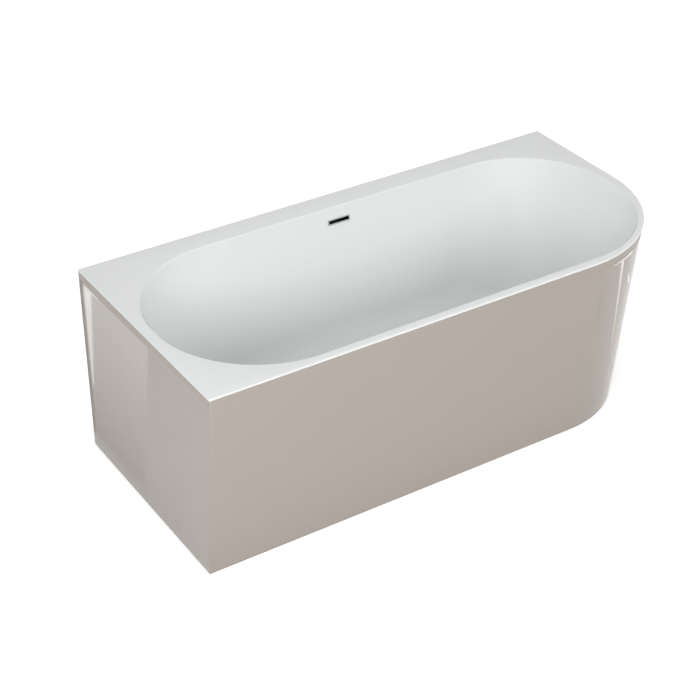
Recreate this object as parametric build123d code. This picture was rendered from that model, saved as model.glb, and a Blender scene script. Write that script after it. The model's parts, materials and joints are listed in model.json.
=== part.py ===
from build123d import *
import math
import os

os.makedirs("parts", exist_ok=True)

# All sizes are millimetres. The origin is on the floor under the middle of the bath.
# +X runs along the length to the rounded end, +Y runs back to the wall, +Z is up.

# The whole bath
LENGTH = 1600.0
WIDTH = 750.0
HEIGHT = 600.0
CORNER_R = 375.0  # the one rounded corner, front right, in plan
LEAN = 50.0  # how far the front and the rounded end lean in at the floor

# White shell
SHELL_T = 6.0
EDGE_R = 2.0
OPEN_LEFT, OPEN_RIGHT = -770.0, 766.0
OPEN_FRONT, OPEN_BACK = -348.0, 298.0
OPEN_R = 312.0
OPEN_BACK_RIGHT_R = 282.0
FLOOR_Z = 160.0  # inside of the basin floor
END_RUN = 210.0  # how far each sloping end runs in from rim to floor
SIDE_RUN = 70.0
FLOOR_R = 235.0  # plan radius of the floor's corners
FLOOR_BACK_RIGHT_R = 215.0
COVE_R = 90.0  # between walls and floor
LIP_R = 5.0  # between deck and basin
SHELL_CUT_X = 400.0  # where the shell is divided, left and right

# Coloured casing and the bead that bonds the shell to it
CASING_T = 5.0
REVEAL = 0.5  # the casing stands this far back from the shell's edge
BEAD_T = 2.0
BEAD_SET_BACK = 1.5
CASING_FOOT = 4.0  # gap under the casing

# Cutting and fitting
PAST = 1.0  # how far a cutter runs past the face that it cuts
NEAR = 1.0  # places closer than this count as the same

# Board under the floor, and the steel frame
BOARD_T = 16.0
BOARD = (-490.0, 490.0, -190.0, 140.0)
BOARD_CORNER_R = 20.0
BOARD_HOLE_R = 50.0  # room round the waste
TUBE = 25.0
TUBE_T = 2.0
RAIL_Y = (-150.0, 100.0)
RAIL_HALF = 540.0
BAY_HALF = 137.5  # the back rail stops this far each side of the waste
OUTER_BAR_X = 480.0
INNER_BAR_X = 150.0
OUTER_BAR_Y = (-290.0, 352.0)
INNER_BAR_Y = (-175.0, 125.0)
CAP_T = 3.0
CAP_DEPTH = 12.0
BOARD_SCREW_X = (220.0, 440.0)
BATTEN = (345.0, 370.0)  # front and back of the batten under the back deck
BATTEN_HALF = 740.0
BATTEN_H = 25.0
PLATE_T = 3.0
PLATE_HALF = 32.0
PLATE_SCREW_IN = 8.0  # from the plate's sides
BATTEN_SCREW_IN = 10.0  # from the batten's back
BRACKET_GAP = 22.0  # from the crossbar's end to the bracket's front face
BRACKET_FOOT, BRACKET_FACE, BRACKET_HALF = 50.0, 45.0, 15.0
BRACKET_SCREW_Y = 40.0  # behind the bracket's front face
BRACKET_SCREW_L = 11.0
BLOCK_SCREW_H = 28.0  # above the crossbar
BLOCK_H, BLOCK_HALF = 55.0, 25.0
SCREW_R, SCREW_HEAD_R, SCREW_HEAD_T = 2.1, 4.5, 2.5
SCREW_BITE = 9.0  # how far a short screw goes into timber
BOARD_SCREW_R, BOARD_SCREW_HEAD_R, BOARD_BITE = 2.5, 5.0, 11.0

# Feet
FOOT_FRONT_Y, FOOT_BACK_Y, FOOT_MIDDLE_Y = -250.0, 300.0, -25.0
PAD_R, PAD_NECK_R, PAD_H = 26.0, 13.0, 16.0
PAD_BASE_H = 4.0
PAD_LEDGE = 3.0  # round the foot of the pad's cone
SOCKET_DEPTH = 10.0
STUD_R = 5.0
STUD_TOP = 98.0
STUD_CHAMFER = 1.0
STUD_HOLE_R = 6.0  # in the crossbar
HEX_ACROSS = 17.0
STUD_HEX_H = 7.0
WELD_NUT_H = 8.0
LOCK_NUT_H = 6.0
RUN = 0.05  # radial clearance of a stud or stem in its bore
GAP = 0.3  # gap between faces that move past each other

# Waste, plug and trap, on one upright line
DRAIN_X, DRAIN_Y = 0.0, -25.0
DRAIN_HOLE_R = 26.0
FLANGE_R, FLANGE_T, FLANGE_ROUND = 35.0, 2.5, 2.0
SLEEVE_R, SLEEVE_WALL = 25.0, 4.0
STRAINER_DEPTH, STRAINER_T = 20.0, 4.0
STRAINER_HOLES, STRAINER_RING_R, STRAINER_HOLE_R = 8, 14.0, 4.2
TOP_GASKET_T, LOW_GASKET_T = 1.5, 3.0
BODY_R = 30.0
BODY_FLANGE_R, BODY_FLANGE_T = 38.0, 4.0
BODY_FLOOR_T = 3.0
BODY_BELOW_BRANCH = 24.0  # from the overflow branch's centre to the bottom of the cup
BRANCH_SOCKET_L = 18.0
OUTLET_THREAD_R, OUTLET_THREAD_L, OUTLET_BORE_R = 21.0, 12.0, 18.0
PLUG_R, PLUG_T, PLUG_ROUND = 30.0, 5.0, 4.0
PLUG_SOCKET = 2.0  # how far the stem goes into the cap
SEAL_REACH = 1.0  # below the basin floor
STEM_R, STEM_DEPTH = 4.0, 30.0
CARTRIDGE_R = 7.0
CARTRIDGE_LOW, CARTRIDGE_HIGH = 34.0, 12.0  # below the basin floor
PIPE_R, PIPE_T = 20.0, 2.0
PIPE_SEAT_R, PIPE_SEAT_L = 19.5, 11.0  # turned down where the nut grips it
SPOUT_R = 21.0
PIPE_Z = 52.0
PIPE_END_Y = 330.0
TRAP_R, TRAP_T = 38.0, 3.0
TRAP_NECK_GAP = 1.0  # between the waste's thread and the trap's neck
TRAP_SPOUT_L = 30.0
TRAP_CAP_WALL = 4.0
INLET_NUT_LOW, INLET_NUT_HIGH, INLET_NUT_WALL = 18.0, 1.0, 6.0
OUTLET_NUT_FRONT, OUTLET_NUT_BACK, OUTLET_NUT_WALL = 18.0, 10.0, 7.0
RIBS, RIB_R = 16, 2.0  # grips on a hand nut
TRAP_LOW, TRAP_TOP = 26.0, 74.0
TRAP_CAP_LOW, TRAP_CAP_TOP = 18.0, 31.0
DIP_TUBE_LOW = 40.0

# Overflow
SLOT_Z = 555.0
COVER_W, COVER_H, COVER_T = 76.0, 18.0, 2.0
COVER_CORNER_R = 2.0
SLOT_W, SLOT_H = 68.0, 10.0
SLEEVE_T = 1.2
SLEEVE_L = 20.0
SLOT_PLAY = 1.0  # the hole in the shell is this much larger than the sleeve
HOUSING_W, HOUSING_H, HOUSING_BACK = 96.0, 52.0, 342.0
HOUSING_T = 2.5
HOUSING_SIDE = 6.0  # the flange stands out this far on each side of the box
HOUSING_CORNER_R, HOUSING_ROUND = 4.0, 5.0
HOUSING_SOCKET_L = 24.0
GASKET_T = 2.0
HOSE_R, HOSE_T = 16.0, 2.0
SOCKET_R = 19.0
DOWN_Y = 324.0
BRANCH_Z = 118.0
BEND_R = 30.0
BEND_SOCKET_L = 24.0
HOSE_STOP = 4.0  # the stop at the bottom of each of the bend's sockets

DECK_Z = HEIGHT - SHELL_T
CASING_TOP = DECK_Z - BEAD_T
UNDER_FLOOR = FLOOR_Z - SHELL_T
BOARD_Z = UNDER_FLOOR - BOARD_T
RAIL_Z = BOARD_Z - TUBE
BAR_Z = RAIL_Z - TUBE
WALL_RATE = SIDE_RUN / (HEIGHT - FLOOR_Z)
WALL_ANGLE = math.degrees(math.atan(WALL_RATE))
SLOT_Y = OPEN_BACK - (HEIGHT - SLOT_Z) * WALL_RATE
SLEEVE_W = SLOT_W + 2 * SLEEVE_T
SLEEVE_H = SLOT_H + 2 * SLEEVE_T
FLANGE_TOP = FLOOR_Z + TOP_GASKET_T + FLANGE_T
WASTE_LOW = BRANCH_Z - BODY_BELOW_BRANCH
NECK_TOP = WASTE_LOW - OUTLET_THREAD_L - TRAP_NECK_GAP
TRAP_END_Y = DRAIN_Y + TRAP_R + TRAP_SPOUT_L
HOUSING_LOW = SLOT_Z - HOUSING_H / 2
PLATE_Z = DECK_Z - BATTEN_H - PLATE_T
FEET = {
    "front_left": (-OUTER_BAR_X, FOOT_FRONT_Y),
    "back_left": (-OUTER_BAR_X, FOOT_BACK_Y),
    "middle_left": (-INNER_BAR_X, FOOT_MIDDLE_Y),
    "middle_right": (INNER_BAR_X, FOOT_MIDDLE_Y),
    "front_right": (OUTER_BAR_X, FOOT_FRONT_Y),
    "back_right": (OUTER_BAR_X, FOOT_BACK_Y),
}


def save(name, *solids):
    """Writes one sub-part, which may be a group of separate solids."""
    shapes = [s for part in solids for s in part.solids()]
    whole = shapes[0] if len(shapes) == 1 else Compound(children=shapes)
    whole.label = name
    export_step(whole, f"parts/{name}.step")


def box(x, y, z):
    """A block between pairs of X, Y and Z values."""
    middle = [(a + b) / 2 for a, b in (x, y, z)]
    return Pos(*middle) * Box(x[1] - x[0], y[1] - y[0], z[1] - z[0])


def post(place, low, high, outer, inner=0.0):
    """An upright round bar or tube at a place in plan."""
    solid = Cylinder(outer, high - low)
    if inner:
        solid -= Cylinder(inner, high - low + 2 * PAST)
    return Pos(place[0], place[1], (low + high) / 2) * solid


def pipe_y(x, z, start, end, outer, inner=0.0):
    """A round bar or tube along Y."""
    return Pos(x, 0, z) * Rot(-90, 0, 0) * post((0, 0), start, end, outer, inner)


def hexagon(place, low, high, bore):
    """A hexagon nut or collar, with a plain bore where bore isn't zero."""
    prism = extrude(RegularPolygon(HEX_ACROSS / 2, 6, major_radius=False), high - low)
    nut = Pos(place[0], place[1], low) * prism
    return nut - post(place, low - PAST, high + PAST, bore) if bore else nut


def grip_ring(place, low, high, outer, inner):
    """A hand nut: a ring with upright ribs."""
    ring = post(place, low, high, outer, inner)
    for i in range(RIBS):
        angle = math.radians(360 * i / RIBS)
        x = place[0] + outer * math.cos(angle)
        y = place[1] + outer * math.sin(angle)
        ring += post((x, y), low, high, RIB_R)
    return ring


def plan_face(left, right, front, back, radius, z):
    """The bath's plan: three square corners and a quarter circle at the front right."""
    straight = Polyline(
        (right - radius, front, z),
        (left, front, z),
        (left, back, z),
        (right, back, z),
        (right, front + radius, z),
    )
    corner = CenterArc((right - radius, front + radius, z), radius, -90, 90)
    return make_face([*straight.edges(), *corner.edges()])


def lean(z):
    """How far the leaning sides stand in from the rim at a height."""
    return LEAN * (1 - z / HEIGHT)


def casing_body(low, high, inset, back):
    """The space inside the casing's sides, moved in by inset."""
    sections = [
        plan_face(
            -LENGTH / 2 + inset,
            LENGTH / 2 - inset - lean(z),
            -WIDTH / 2 + inset + lean(z),
            back,
            CORNER_R - inset - lean(z),
            z,
        )
        for z in (high, low)
    ]
    return loft(sections, ruled=True)


def basin_face(z, grow):
    """Outline of the basin wall at a height, moved outwards by grow."""
    share = (HEIGHT - z) / (HEIGHT - FLOOR_Z)
    left = OPEN_LEFT + share * END_RUN - grow
    right = OPEN_RIGHT - share * END_RUN + grow
    front = OPEN_FRONT + share * SIDE_RUN - grow
    back = OPEN_BACK - share * SIDE_RUN + grow
    r = OPEN_R + share * (FLOOR_R - OPEN_R) + grow
    rb = OPEN_BACK_RIGHT_R + share * (FLOOR_BACK_RIGHT_R - OPEN_BACK_RIGHT_R) + grow
    edges = [
        Line((left + r, front, z), (right - r, front, z)),
        CenterArc((right - r, front + r, z), r, -90, 90),
        Line((right, front + r, z), (right, back - rb, z)),
        CenterArc((right - rb, back - rb, z), rb, 0, 90),
        Line((right - rb, back, z), (left + r, back, z)),
        CenterArc((left + r, back - r, z), r, 90, 90),
        Line((left, back - r, z), (left, front + r, z)),
        CenterArc((left + r, front + r, z), r, 180, 90),
    ]
    return make_face([e for line in edges for e in line.edges()])


def basin_body(top, bottom, grow, cove):
    """The basin as a solid block, rounded where its walls meet the floor."""
    block = loft([basin_face(top, grow), basin_face(bottom, grow)], ruled=True)
    return fillet(block.edges().group_by(Axis.Z)[0], cove)


def wall_plane(depth):
    """A plane on the basin's back wall at the slot, depth behind the inside face."""
    slope = math.radians(WALL_ANGLE)
    inwards = Vector(0, -math.cos(slope), math.sin(slope))
    origin = Vector(0, SLOT_Y, SLOT_Z) - inwards * depth
    return Plane(origin=origin, x_dir=(1, 0, 0), z_dir=inwards)


def slab(depth, thickness, width, height, radius=0.0):
    """A rectangle parallel to the back wall, from depth behind it towards the bather."""
    outline = RectangleRounded(width, height, radius) if radius else Rectangle(width, height)
    return extrude(wall_plane(depth) * outline, thickness)


def bath_shell():
    """Deck and basin in one, with the holes for the waste and the overflow."""
    plan = plan_face(-LENGTH / 2, LENGTH / 2, -WIDTH / 2, WIDTH / 2, CORNER_R, DECK_Z)
    deck = extrude(plan, SHELL_T)
    deck = fillet(deck.edges().filter_by(Axis.Z).filter_by(is_square_corner), EDGE_R)
    deck = fillet(deck.edges().group_by(Axis.Z)[-1], EDGE_R)
    outside = basin_body(DECK_Z + SHELL_T / 2, UNDER_FLOOR, SHELL_T, COVE_R + SHELL_T)
    inside = basin_body(HEIGHT + 2 * LIP_R, FLOOR_Z, 0.0, COVE_R)
    shell = deck + outside - inside
    mouth = [e for e in shell.edges().group_by(Axis.Z)[-1] if is_mouth(e)]
    shell = fillet(mouth, LIP_R)
    shell -= post((DRAIN_X, DRAIN_Y), UNDER_FLOOR - PAST, FLOOR_Z + PAST, DRAIN_HOLE_R)
    return shell - slab(2 * SHELL_T, 4 * SHELL_T, SLEEVE_W + SLOT_PLAY, SLEEVE_H + SLOT_PLAY)


def divided(shape, cuts_x, cuts_y):
    """The same material as touching blocks, cut by upright planes."""
    ends_x = [-LENGTH, *cuts_x, LENGTH]
    ends_y = [-WIDTH, *cuts_y, WIDTH]
    blocks = []
    for span_x in zip(ends_x, ends_x[1:]):
        for span_y in zip(ends_y, ends_y[1:]):
            blocks += (shape & box(span_x, span_y, (-PAST, HEIGHT + PAST))).solids()
    return blocks


def is_square_corner(edge):
    """Whether an upright edge is one of the deck's three square corners."""
    at = edge.center()
    return abs(abs(at.X) - LENGTH / 2) < NEAR and abs(abs(at.Y) - WIDTH / 2) < NEAR


def is_mouth(edge):
    """Whether an edge of the deck's top face belongs to the basin's opening."""
    box_of = edge.bounding_box()
    inside_x = box_of.min.X > OPEN_LEFT - NEAR and box_of.max.X < OPEN_RIGHT + NEAR
    return inside_x and box_of.min.Y > OPEN_FRONT - NEAR and box_of.max.Y < OPEN_BACK + NEAR


def casing():
    """The coloured surround: square end, front, rounded corner and end, open at the wall."""
    outside = casing_body(CASING_FOOT, CASING_TOP, REVEAL, WIDTH / 2 - REVEAL)
    inside = casing_body(0, HEIGHT, REVEAL + CASING_T, WIDTH)
    return outside - inside


def bond_bead():
    """The sealant line between the casing's top edge and the deck."""
    outer_inset = REVEAL + BEAD_SET_BACK
    outside = casing_body(CASING_TOP, DECK_Z, outer_inset, WIDTH / 2 - outer_inset)
    inside = casing_body(0, HEIGHT, REVEAL + CASING_T, WIDTH)
    return outside - inside


def base_board():
    """Laminated board bonded under the floor, with room round the waste."""
    board = box(BOARD[:2], BOARD[2:], (BOARD_Z, UNDER_FLOOR))
    board = fillet(board.edges().filter_by(Axis.Z), BOARD_CORNER_R)
    board -= post((DRAIN_X, DRAIN_Y), BOARD_Z - PAST, UNDER_FLOOR + PAST, BOARD_HOLE_R)
    for x, y in board_screw_places():
        board -= post((x, y), BOARD_Z - PAST, BOARD_Z + BOARD_BITE, BOARD_SCREW_R)
    return board


def board_screw_places():
    """Where the rails are screwed to the board."""
    return [(side * x, y) for y in RAIL_Y for x in BOARD_SCREW_X for side in (-1, 1)]


def tube_x(start, end, y, z):
    """A square tube along X, on the level z."""
    half = TUBE / 2
    hollow = half - TUBE_T
    outside = box((start, end), (y - half, y + half), (z, z + TUBE))
    length = (start - PAST, end + PAST)
    return outside - box(length, (y - hollow, y + hollow), (z + TUBE_T, z + TUBE - TUBE_T))


def tube_y(start, end, x, z):
    """A square tube along Y, on the level z."""
    return Rot(0, 0, 90) * tube_x(start, end, -x, z)


def tube_z(start, end, x, y):
    """A square upright tube."""
    half = TUBE / 2
    hollow = half - TUBE_T
    outside = box((x - half, x + half), (y - half, y + half), (start, end))
    height = (start - PAST, end + PAST)
    return outside - box((x - hollow, x + hollow), (y - hollow, y + hollow), height)


def rail(start, end, y):
    """A long rail under the board, drilled for its screws."""
    tube = tube_x(start, end, y, RAIL_Z)
    for x, screw_y in board_screw_places():
        if screw_y == y and start < x < end:
            tube -= post((x, y), RAIL_Z - PAST, BOARD_Z + PAST, BOARD_SCREW_R + GAP)
    return tube


def crossbar(x, ends):
    """A bar under the rails, drilled underneath for each foot that it carries."""
    bar = tube_y(ends[0], ends[1], x, BAR_Z)
    for place in FEET.values():
        if place[0] == x:
            bar -= post(place, BAR_Z - PAST, BAR_Z + TUBE / 2, STUD_HOLE_R)
    if abs(x) == OUTER_BAR_X:
        screw_at = (x, bracket_y() + BRACKET_SCREW_Y)
        bar -= post(screw_at, BAR_Z + TUBE / 2, RAIL_Z + PAST, SCREW_R)
    return bar


def bracket_y():
    """The front face of the brackets that steady the casing."""
    return OUTER_BAR_Y[0] - BRACKET_GAP


def end_caps():
    """Plastic plugs in the open ends of the frame's tubes."""
    caps = []
    hollow = TUBE - 2 * TUBE_T
    plug = Box(CAP_DEPTH, hollow, hollow)
    lid = Box(CAP_T, TUBE, TUBE)
    cap = Pos(-CAP_DEPTH / 2, 0, 0) * plug + Pos(CAP_T / 2, 0, 0) * lid
    middle = RAIL_Z + TUBE / 2
    ends_x = [(RAIL_HALF, y, 0) for y in RAIL_Y] + [(-RAIL_HALF, y, 180) for y in RAIL_Y]
    ends_x += [(BAY_HALF, RAIL_Y[1], 180), (-BAY_HALF, RAIL_Y[1], 0)]
    for x, y, turn in ends_x:
        caps.append(Pos(x, y, middle) * Rot(0, 0, turn) * cap)
    for bar_x, ends in ((OUTER_BAR_X, OUTER_BAR_Y), (INNER_BAR_X, INNER_BAR_Y)):
        for x in (-bar_x, bar_x):
            caps.append(Pos(x, ends[0], middle - TUBE) * Rot(0, 0, -90) * cap)
            caps.append(Pos(x, ends[1], middle - TUBE) * Rot(0, 0, 90) * cap)
    return caps


def upright(x):
    """A post from an outer crossbar up to the back of the deck."""
    return tube_z(RAIL_Z, PLATE_Z, x, OUTER_BAR_Y[1] - TUBE / 2)


def upright_plates():
    """The plates on top of the posts, drilled for the batten screws."""
    plates = []
    for x in (-OUTER_BAR_X, OUTER_BAR_X):
        span_y = (OUTER_BAR_Y[1] - TUBE, BATTEN[1])
        plate = box((x - PLATE_HALF, x + PLATE_HALF), span_y, (PLATE_Z, PLATE_Z + PLATE_T))
        for place in plate_screw_places(x):
            plate -= post(place, PLATE_Z - PAST, PLATE_Z + PLATE_T + PAST, SCREW_R)
        plates.append(plate)
    return plates


def plate_screw_places(x):
    """The two screws of one plate, outside its post."""
    away = PLATE_HALF - PLATE_SCREW_IN
    return [(x + side * away, BATTEN[1] - BATTEN_SCREW_IN) for side in (-1, 1)]


def back_batten():
    """The timber batten under the back edge of the deck."""
    batten = box((-BATTEN_HALF, BATTEN_HALF), BATTEN, (DECK_Z - BATTEN_H, DECK_Z))
    for x in (-OUTER_BAR_X, OUTER_BAR_X):
        for place in plate_screw_places(x):
            batten -= post(place, PLATE_Z, DECK_Z - SCREW_BITE, SCREW_R)
    return batten


def screw(place, under_head, tip, shank=SCREW_R, head=SCREW_HEAD_R):
    """An upright screw with its head below, from under_head up to tip."""
    top = post(place, under_head - SCREW_HEAD_T, under_head, head)
    return top + post(place, under_head, tip, shank)


def board_screws():
    """The long screws up through the rails into the board."""
    tip = BOARD_Z + BOARD_BITE
    places = board_screw_places()
    return [screw(p, RAIL_Z, tip, BOARD_SCREW_R, BOARD_SCREW_HEAD_R) for p in places]


def batten_screws():
    """The screws up through the plates into the batten."""
    places = [p for x in (-OUTER_BAR_X, OUTER_BAR_X) for p in plate_screw_places(x)]
    return [screw(p, PLATE_Z, DECK_Z - SCREW_BITE) for p in places]


def casing_brackets():
    """Angle brackets on the front ends of the outer crossbars."""
    brackets = []
    for x in (-OUTER_BAR_X, OUTER_BAR_X):
        front = bracket_y()
        span = (x - BRACKET_HALF, x + BRACKET_HALF)
        bracket = box(span, (front, front + BRACKET_FOOT), (RAIL_Z, RAIL_Z + PLATE_T))
        bracket += box(span, (front, front + PLATE_T), (RAIL_Z, RAIL_Z + BRACKET_FACE))
        bracket -= post((x, front + BRACKET_SCREW_Y), RAIL_Z - PAST, RAIL_Z + PLATE_T + PAST, SCREW_R)
        level = (RAIL_Z + BLOCK_SCREW_H, front - PAST, front + PLATE_T + PAST)
        bracket -= pipe_y(x, *level, SCREW_R)
        brackets.append(bracket)
    return brackets


def casing_blocks():
    """Timber blocks bonded inside the casing, where the brackets reach it."""
    inside = casing_body(0, HEIGHT, REVEAL + CASING_T, WIDTH)
    blocks = []
    for x in (-OUTER_BAR_X, OUTER_BAR_X):
        front = bracket_y()
        span = (x - BLOCK_HALF, x + BLOCK_HALF)
        block = box(span, (-WIDTH / 2, front), (RAIL_Z, RAIL_Z + BLOCK_H)) & inside
        hole = pipe_y(x, RAIL_Z + BLOCK_SCREW_H, front - SCREW_BITE, front + PAST, SCREW_R)
        blocks.append(block - hole)
    return blocks


def bracket_screws():
    """The screws of the casing brackets, into the crossbars and the blocks."""
    screws = []
    for x in (-OUTER_BAR_X, OUTER_BAR_X):
        front = bracket_y()
        under_head = RAIL_Z + PLATE_T
        place = (x, front + BRACKET_SCREW_Y)
        shank = post(place, under_head - BRACKET_SCREW_L, under_head, SCREW_R)
        screws.append(shank + post(place, under_head, under_head + SCREW_HEAD_T, SCREW_HEAD_R))
        z, back = RAIL_Z + BLOCK_SCREW_H, front + PLATE_T
        level = pipe_y(x, z, front - SCREW_BITE, back, SCREW_R)
        screws.append(level + pipe_y(x, z, back, back + SCREW_HEAD_T, SCREW_HEAD_R))
    return screws


def foot_stud(place):
    """A threaded stud with a hexagon collar, standing in its pad."""
    stud = post(place, PAD_H - SOCKET_DEPTH, STUD_TOP, STUD_R)
    stud += hexagon(place, PAD_H + GAP, PAD_H + GAP + STUD_HEX_H, 0)
    return chamfer(stud.edges().group_by(Axis.Z)[-1], STUD_CHAMFER)


def foot_pad(place):
    """A round foot with a socket for the stud."""
    cone_h = PAD_H - PAD_BASE_H
    cone = Cone(PAD_R - PAD_LEDGE, PAD_NECK_R, cone_h)
    pad = post(place, 0, PAD_BASE_H, PAD_R) + Pos(*place, PAD_H - cone_h / 2) * cone
    return pad - post(place, PAD_H - SOCKET_DEPTH - GAP, PAD_H + PAST, STUD_R + RUN)


def waste_flange():
    """The polished ring in the basin floor, with its sleeve and strainer."""
    at = (DRAIN_X, DRAIN_Y)
    rim = FLOOR_Z + TOP_GASKET_T
    low = FLOOR_Z - STRAINER_DEPTH
    bore = SLEEVE_R - SLEEVE_WALL
    flange = post(at, rim, FLANGE_TOP, FLANGE_R, bore)
    flange = fillet(flange.edges().group_by(Axis.Z)[-1].sort_by(SortBy.RADIUS)[-1], FLANGE_ROUND)
    flange += post(at, low, rim, SLEEVE_R, bore)
    strainer = post(at, low, low + STRAINER_T, bore + PAST, CARTRIDGE_R)
    for i in range(STRAINER_HOLES):
        angle = math.radians(360 * i / STRAINER_HOLES)
        x = at[0] + STRAINER_RING_R * math.cos(angle)
        y = at[1] + STRAINER_RING_R * math.sin(angle)
        strainer -= post((x, y), low - PAST, low + STRAINER_T + PAST, STRAINER_HOLE_R)
    return flange + strainer


def waste_gasket_top():
    """The washer between the flange and the basin floor."""
    at = (DRAIN_X, DRAIN_Y)
    return post(at, FLOOR_Z, FLOOR_Z + TOP_GASKET_T, FLANGE_R - FLANGE_ROUND, SLEEVE_R)


def waste_gasket_bottom():
    """The washer between the basin floor and the waste body."""
    at = (DRAIN_X, DRAIN_Y)
    return post(at, UNDER_FLOOR - LOW_GASKET_T, UNDER_FLOOR, BODY_FLANGE_R, SLEEVE_R)


def waste_body():
    """The cup under the floor, with a socket for the overflow and a threaded outlet."""
    at = (DRAIN_X, DRAIN_Y)
    top = UNDER_FLOOR - LOW_GASKET_T
    cup_top = top - BODY_FLANGE_T
    branch_y = DRAIN_Y + BODY_R + HOSE_STOP
    socket_end = branch_y + BRANCH_SOCKET_L
    thread_low = WASTE_LOW - OUTLET_THREAD_L
    body = post(at, cup_top, top, BODY_FLANGE_R) + post(at, WASTE_LOW, cup_top, BODY_R)
    body += post(at, thread_low, WASTE_LOW, OUTLET_THREAD_R)
    body += pipe_y(DRAIN_X, BRANCH_Z, DRAIN_Y, socket_end, SOCKET_R)
    body -= post(at, WASTE_LOW + BODY_FLOOR_T, top + PAST, SLEEVE_R)
    body -= post(at, thread_low - PAST, WASTE_LOW + BODY_FLOOR_T + PAST, OUTLET_BORE_R)
    body -= pipe_y(DRAIN_X, BRANCH_Z, branch_y, socket_end + PAST, HOSE_R)
    return body - pipe_y(DRAIN_X, BRANCH_Z, DRAIN_Y, branch_y + PAST, HOSE_R - HOSE_T)


def plug_cap():
    """The polished cap of the push-down plug."""
    at = (DRAIN_X, DRAIN_Y)
    low = FLANGE_TOP + GAP
    cap = post(at, low, low + PLUG_T, PLUG_R)
    cap = fillet(cap.edges().group_by(Axis.Z)[-1], PLUG_ROUND)
    return cap - post(at, low - PAST, low + PLUG_SOCKET, STEM_R)


def plug_seal():
    """The rubber ring under the cap."""
    at = (DRAIN_X, DRAIN_Y)
    outer = SLEEVE_R - SLEEVE_WALL - GAP
    return post(at, FLOOR_Z - SEAL_REACH, FLANGE_TOP + GAP, outer, STEM_R)


def plug_stem():
    """The stem that slides in the cartridge."""
    at = (DRAIN_X, DRAIN_Y)
    return post(at, FLOOR_Z - STEM_DEPTH, FLANGE_TOP + GAP + PLUG_SOCKET, STEM_R)


def plug_cartridge():
    """The latch sleeve screwed into the strainer's hub."""
    low, high = FLOOR_Z - CARTRIDGE_LOW, FLOOR_Z - CARTRIDGE_HIGH
    return post((DRAIN_X, DRAIN_Y), low, high, CARTRIDGE_R, STEM_R + RUN)


def trap_inlet_nut():
    """The hand nut that holds the trap to the waste."""
    low, high = WASTE_LOW - INLET_NUT_LOW, WASTE_LOW - INLET_NUT_HIGH
    outer = OUTLET_THREAD_R + INLET_NUT_WALL
    return grip_ring((DRAIN_X, DRAIN_Y), low, high, outer, OUTLET_THREAD_R)


def trap_body():
    """The shallow bottle trap: cup, dip tube and side outlet."""
    at = (DRAIN_X, DRAIN_Y)
    dip_r = OUTLET_BORE_R + PAST
    body = post(at, TRAP_LOW, TRAP_TOP, TRAP_R)
    body += post(at, TRAP_TOP, NECK_TOP, OUTLET_THREAD_R)
    body += pipe_y(DRAIN_X, PIPE_Z, DRAIN_Y + PIPE_R, TRAP_END_Y, SPOUT_R)
    body -= post(at, TRAP_LOW - PAST, TRAP_TOP - TRAP_T, TRAP_R - TRAP_T)
    body -= pipe_y(DRAIN_X, PIPE_Z, DRAIN_Y, TRAP_END_Y + PAST, PIPE_R - PIPE_T)
    body += post(at, DIP_TUBE_LOW, TRAP_TOP - TRAP_T + PAST, dip_r)
    return body - post(at, DIP_TUBE_LOW - PAST, NECK_TOP + PAST, dip_r - TRAP_T)


def trap_cap():
    """The screw cap under the trap, for cleaning."""
    at = (DRAIN_X, DRAIN_Y)
    outer = TRAP_R + TRAP_CAP_WALL
    ring = grip_ring(at, TRAP_CAP_LOW, TRAP_CAP_TOP, outer, TRAP_R)
    return ring + post(at, TRAP_CAP_LOW, TRAP_LOW, outer)


def trap_outlet_nut():
    """The hand nut that holds the outlet pipe to the trap's spout."""
    outer = SPOUT_R + OUTLET_NUT_WALL
    back = TRAP_END_Y + OUTLET_NUT_BACK
    ring = grip_ring((0, 0), TRAP_END_Y - OUTLET_NUT_FRONT, TRAP_END_Y, outer, SPOUT_R)
    ring += grip_ring((0, 0), TRAP_END_Y, back, outer, PIPE_SEAT_R)
    return Pos(DRAIN_X, 0, PIPE_Z) * Rot(-90, 0, 0) * ring


def outlet_pipe():
    """The waste pipe to the wall, turned down at the trap's nut."""
    seat_end = TRAP_END_Y + PIPE_SEAT_L
    bore = PIPE_R - PIPE_T
    pipe = pipe_y(DRAIN_X, PIPE_Z, seat_end, PIPE_END_Y, PIPE_R, bore)
    return pipe + pipe_y(DRAIN_X, PIPE_Z, TRAP_END_Y, seat_end, PIPE_SEAT_R, bore)


def overflow_cover():
    """The polished slot frame and the sleeve that lines the hole."""
    plate = slab(0, COVER_T, COVER_W, COVER_H, COVER_CORNER_R)
    sleeve = slab(SLEEVE_L, SLEEVE_L, SLEEVE_W, SLEEVE_H)
    return plate + sleeve - slab(SLEEVE_L + PAST, SLEEVE_L + COVER_T + 2 * PAST, SLOT_W, SLOT_H)


def overflow_gasket():
    """The foam gasket round the sleeve, behind the wall."""
    gasket = slab(SHELL_T + GASKET_T, GASKET_T, HOUSING_W, HOUSING_H, HOUSING_CORNER_R)
    return gasket - slab(3 * SHELL_T, 3 * SHELL_T, SLEEVE_W, SLEEVE_H)


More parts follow.
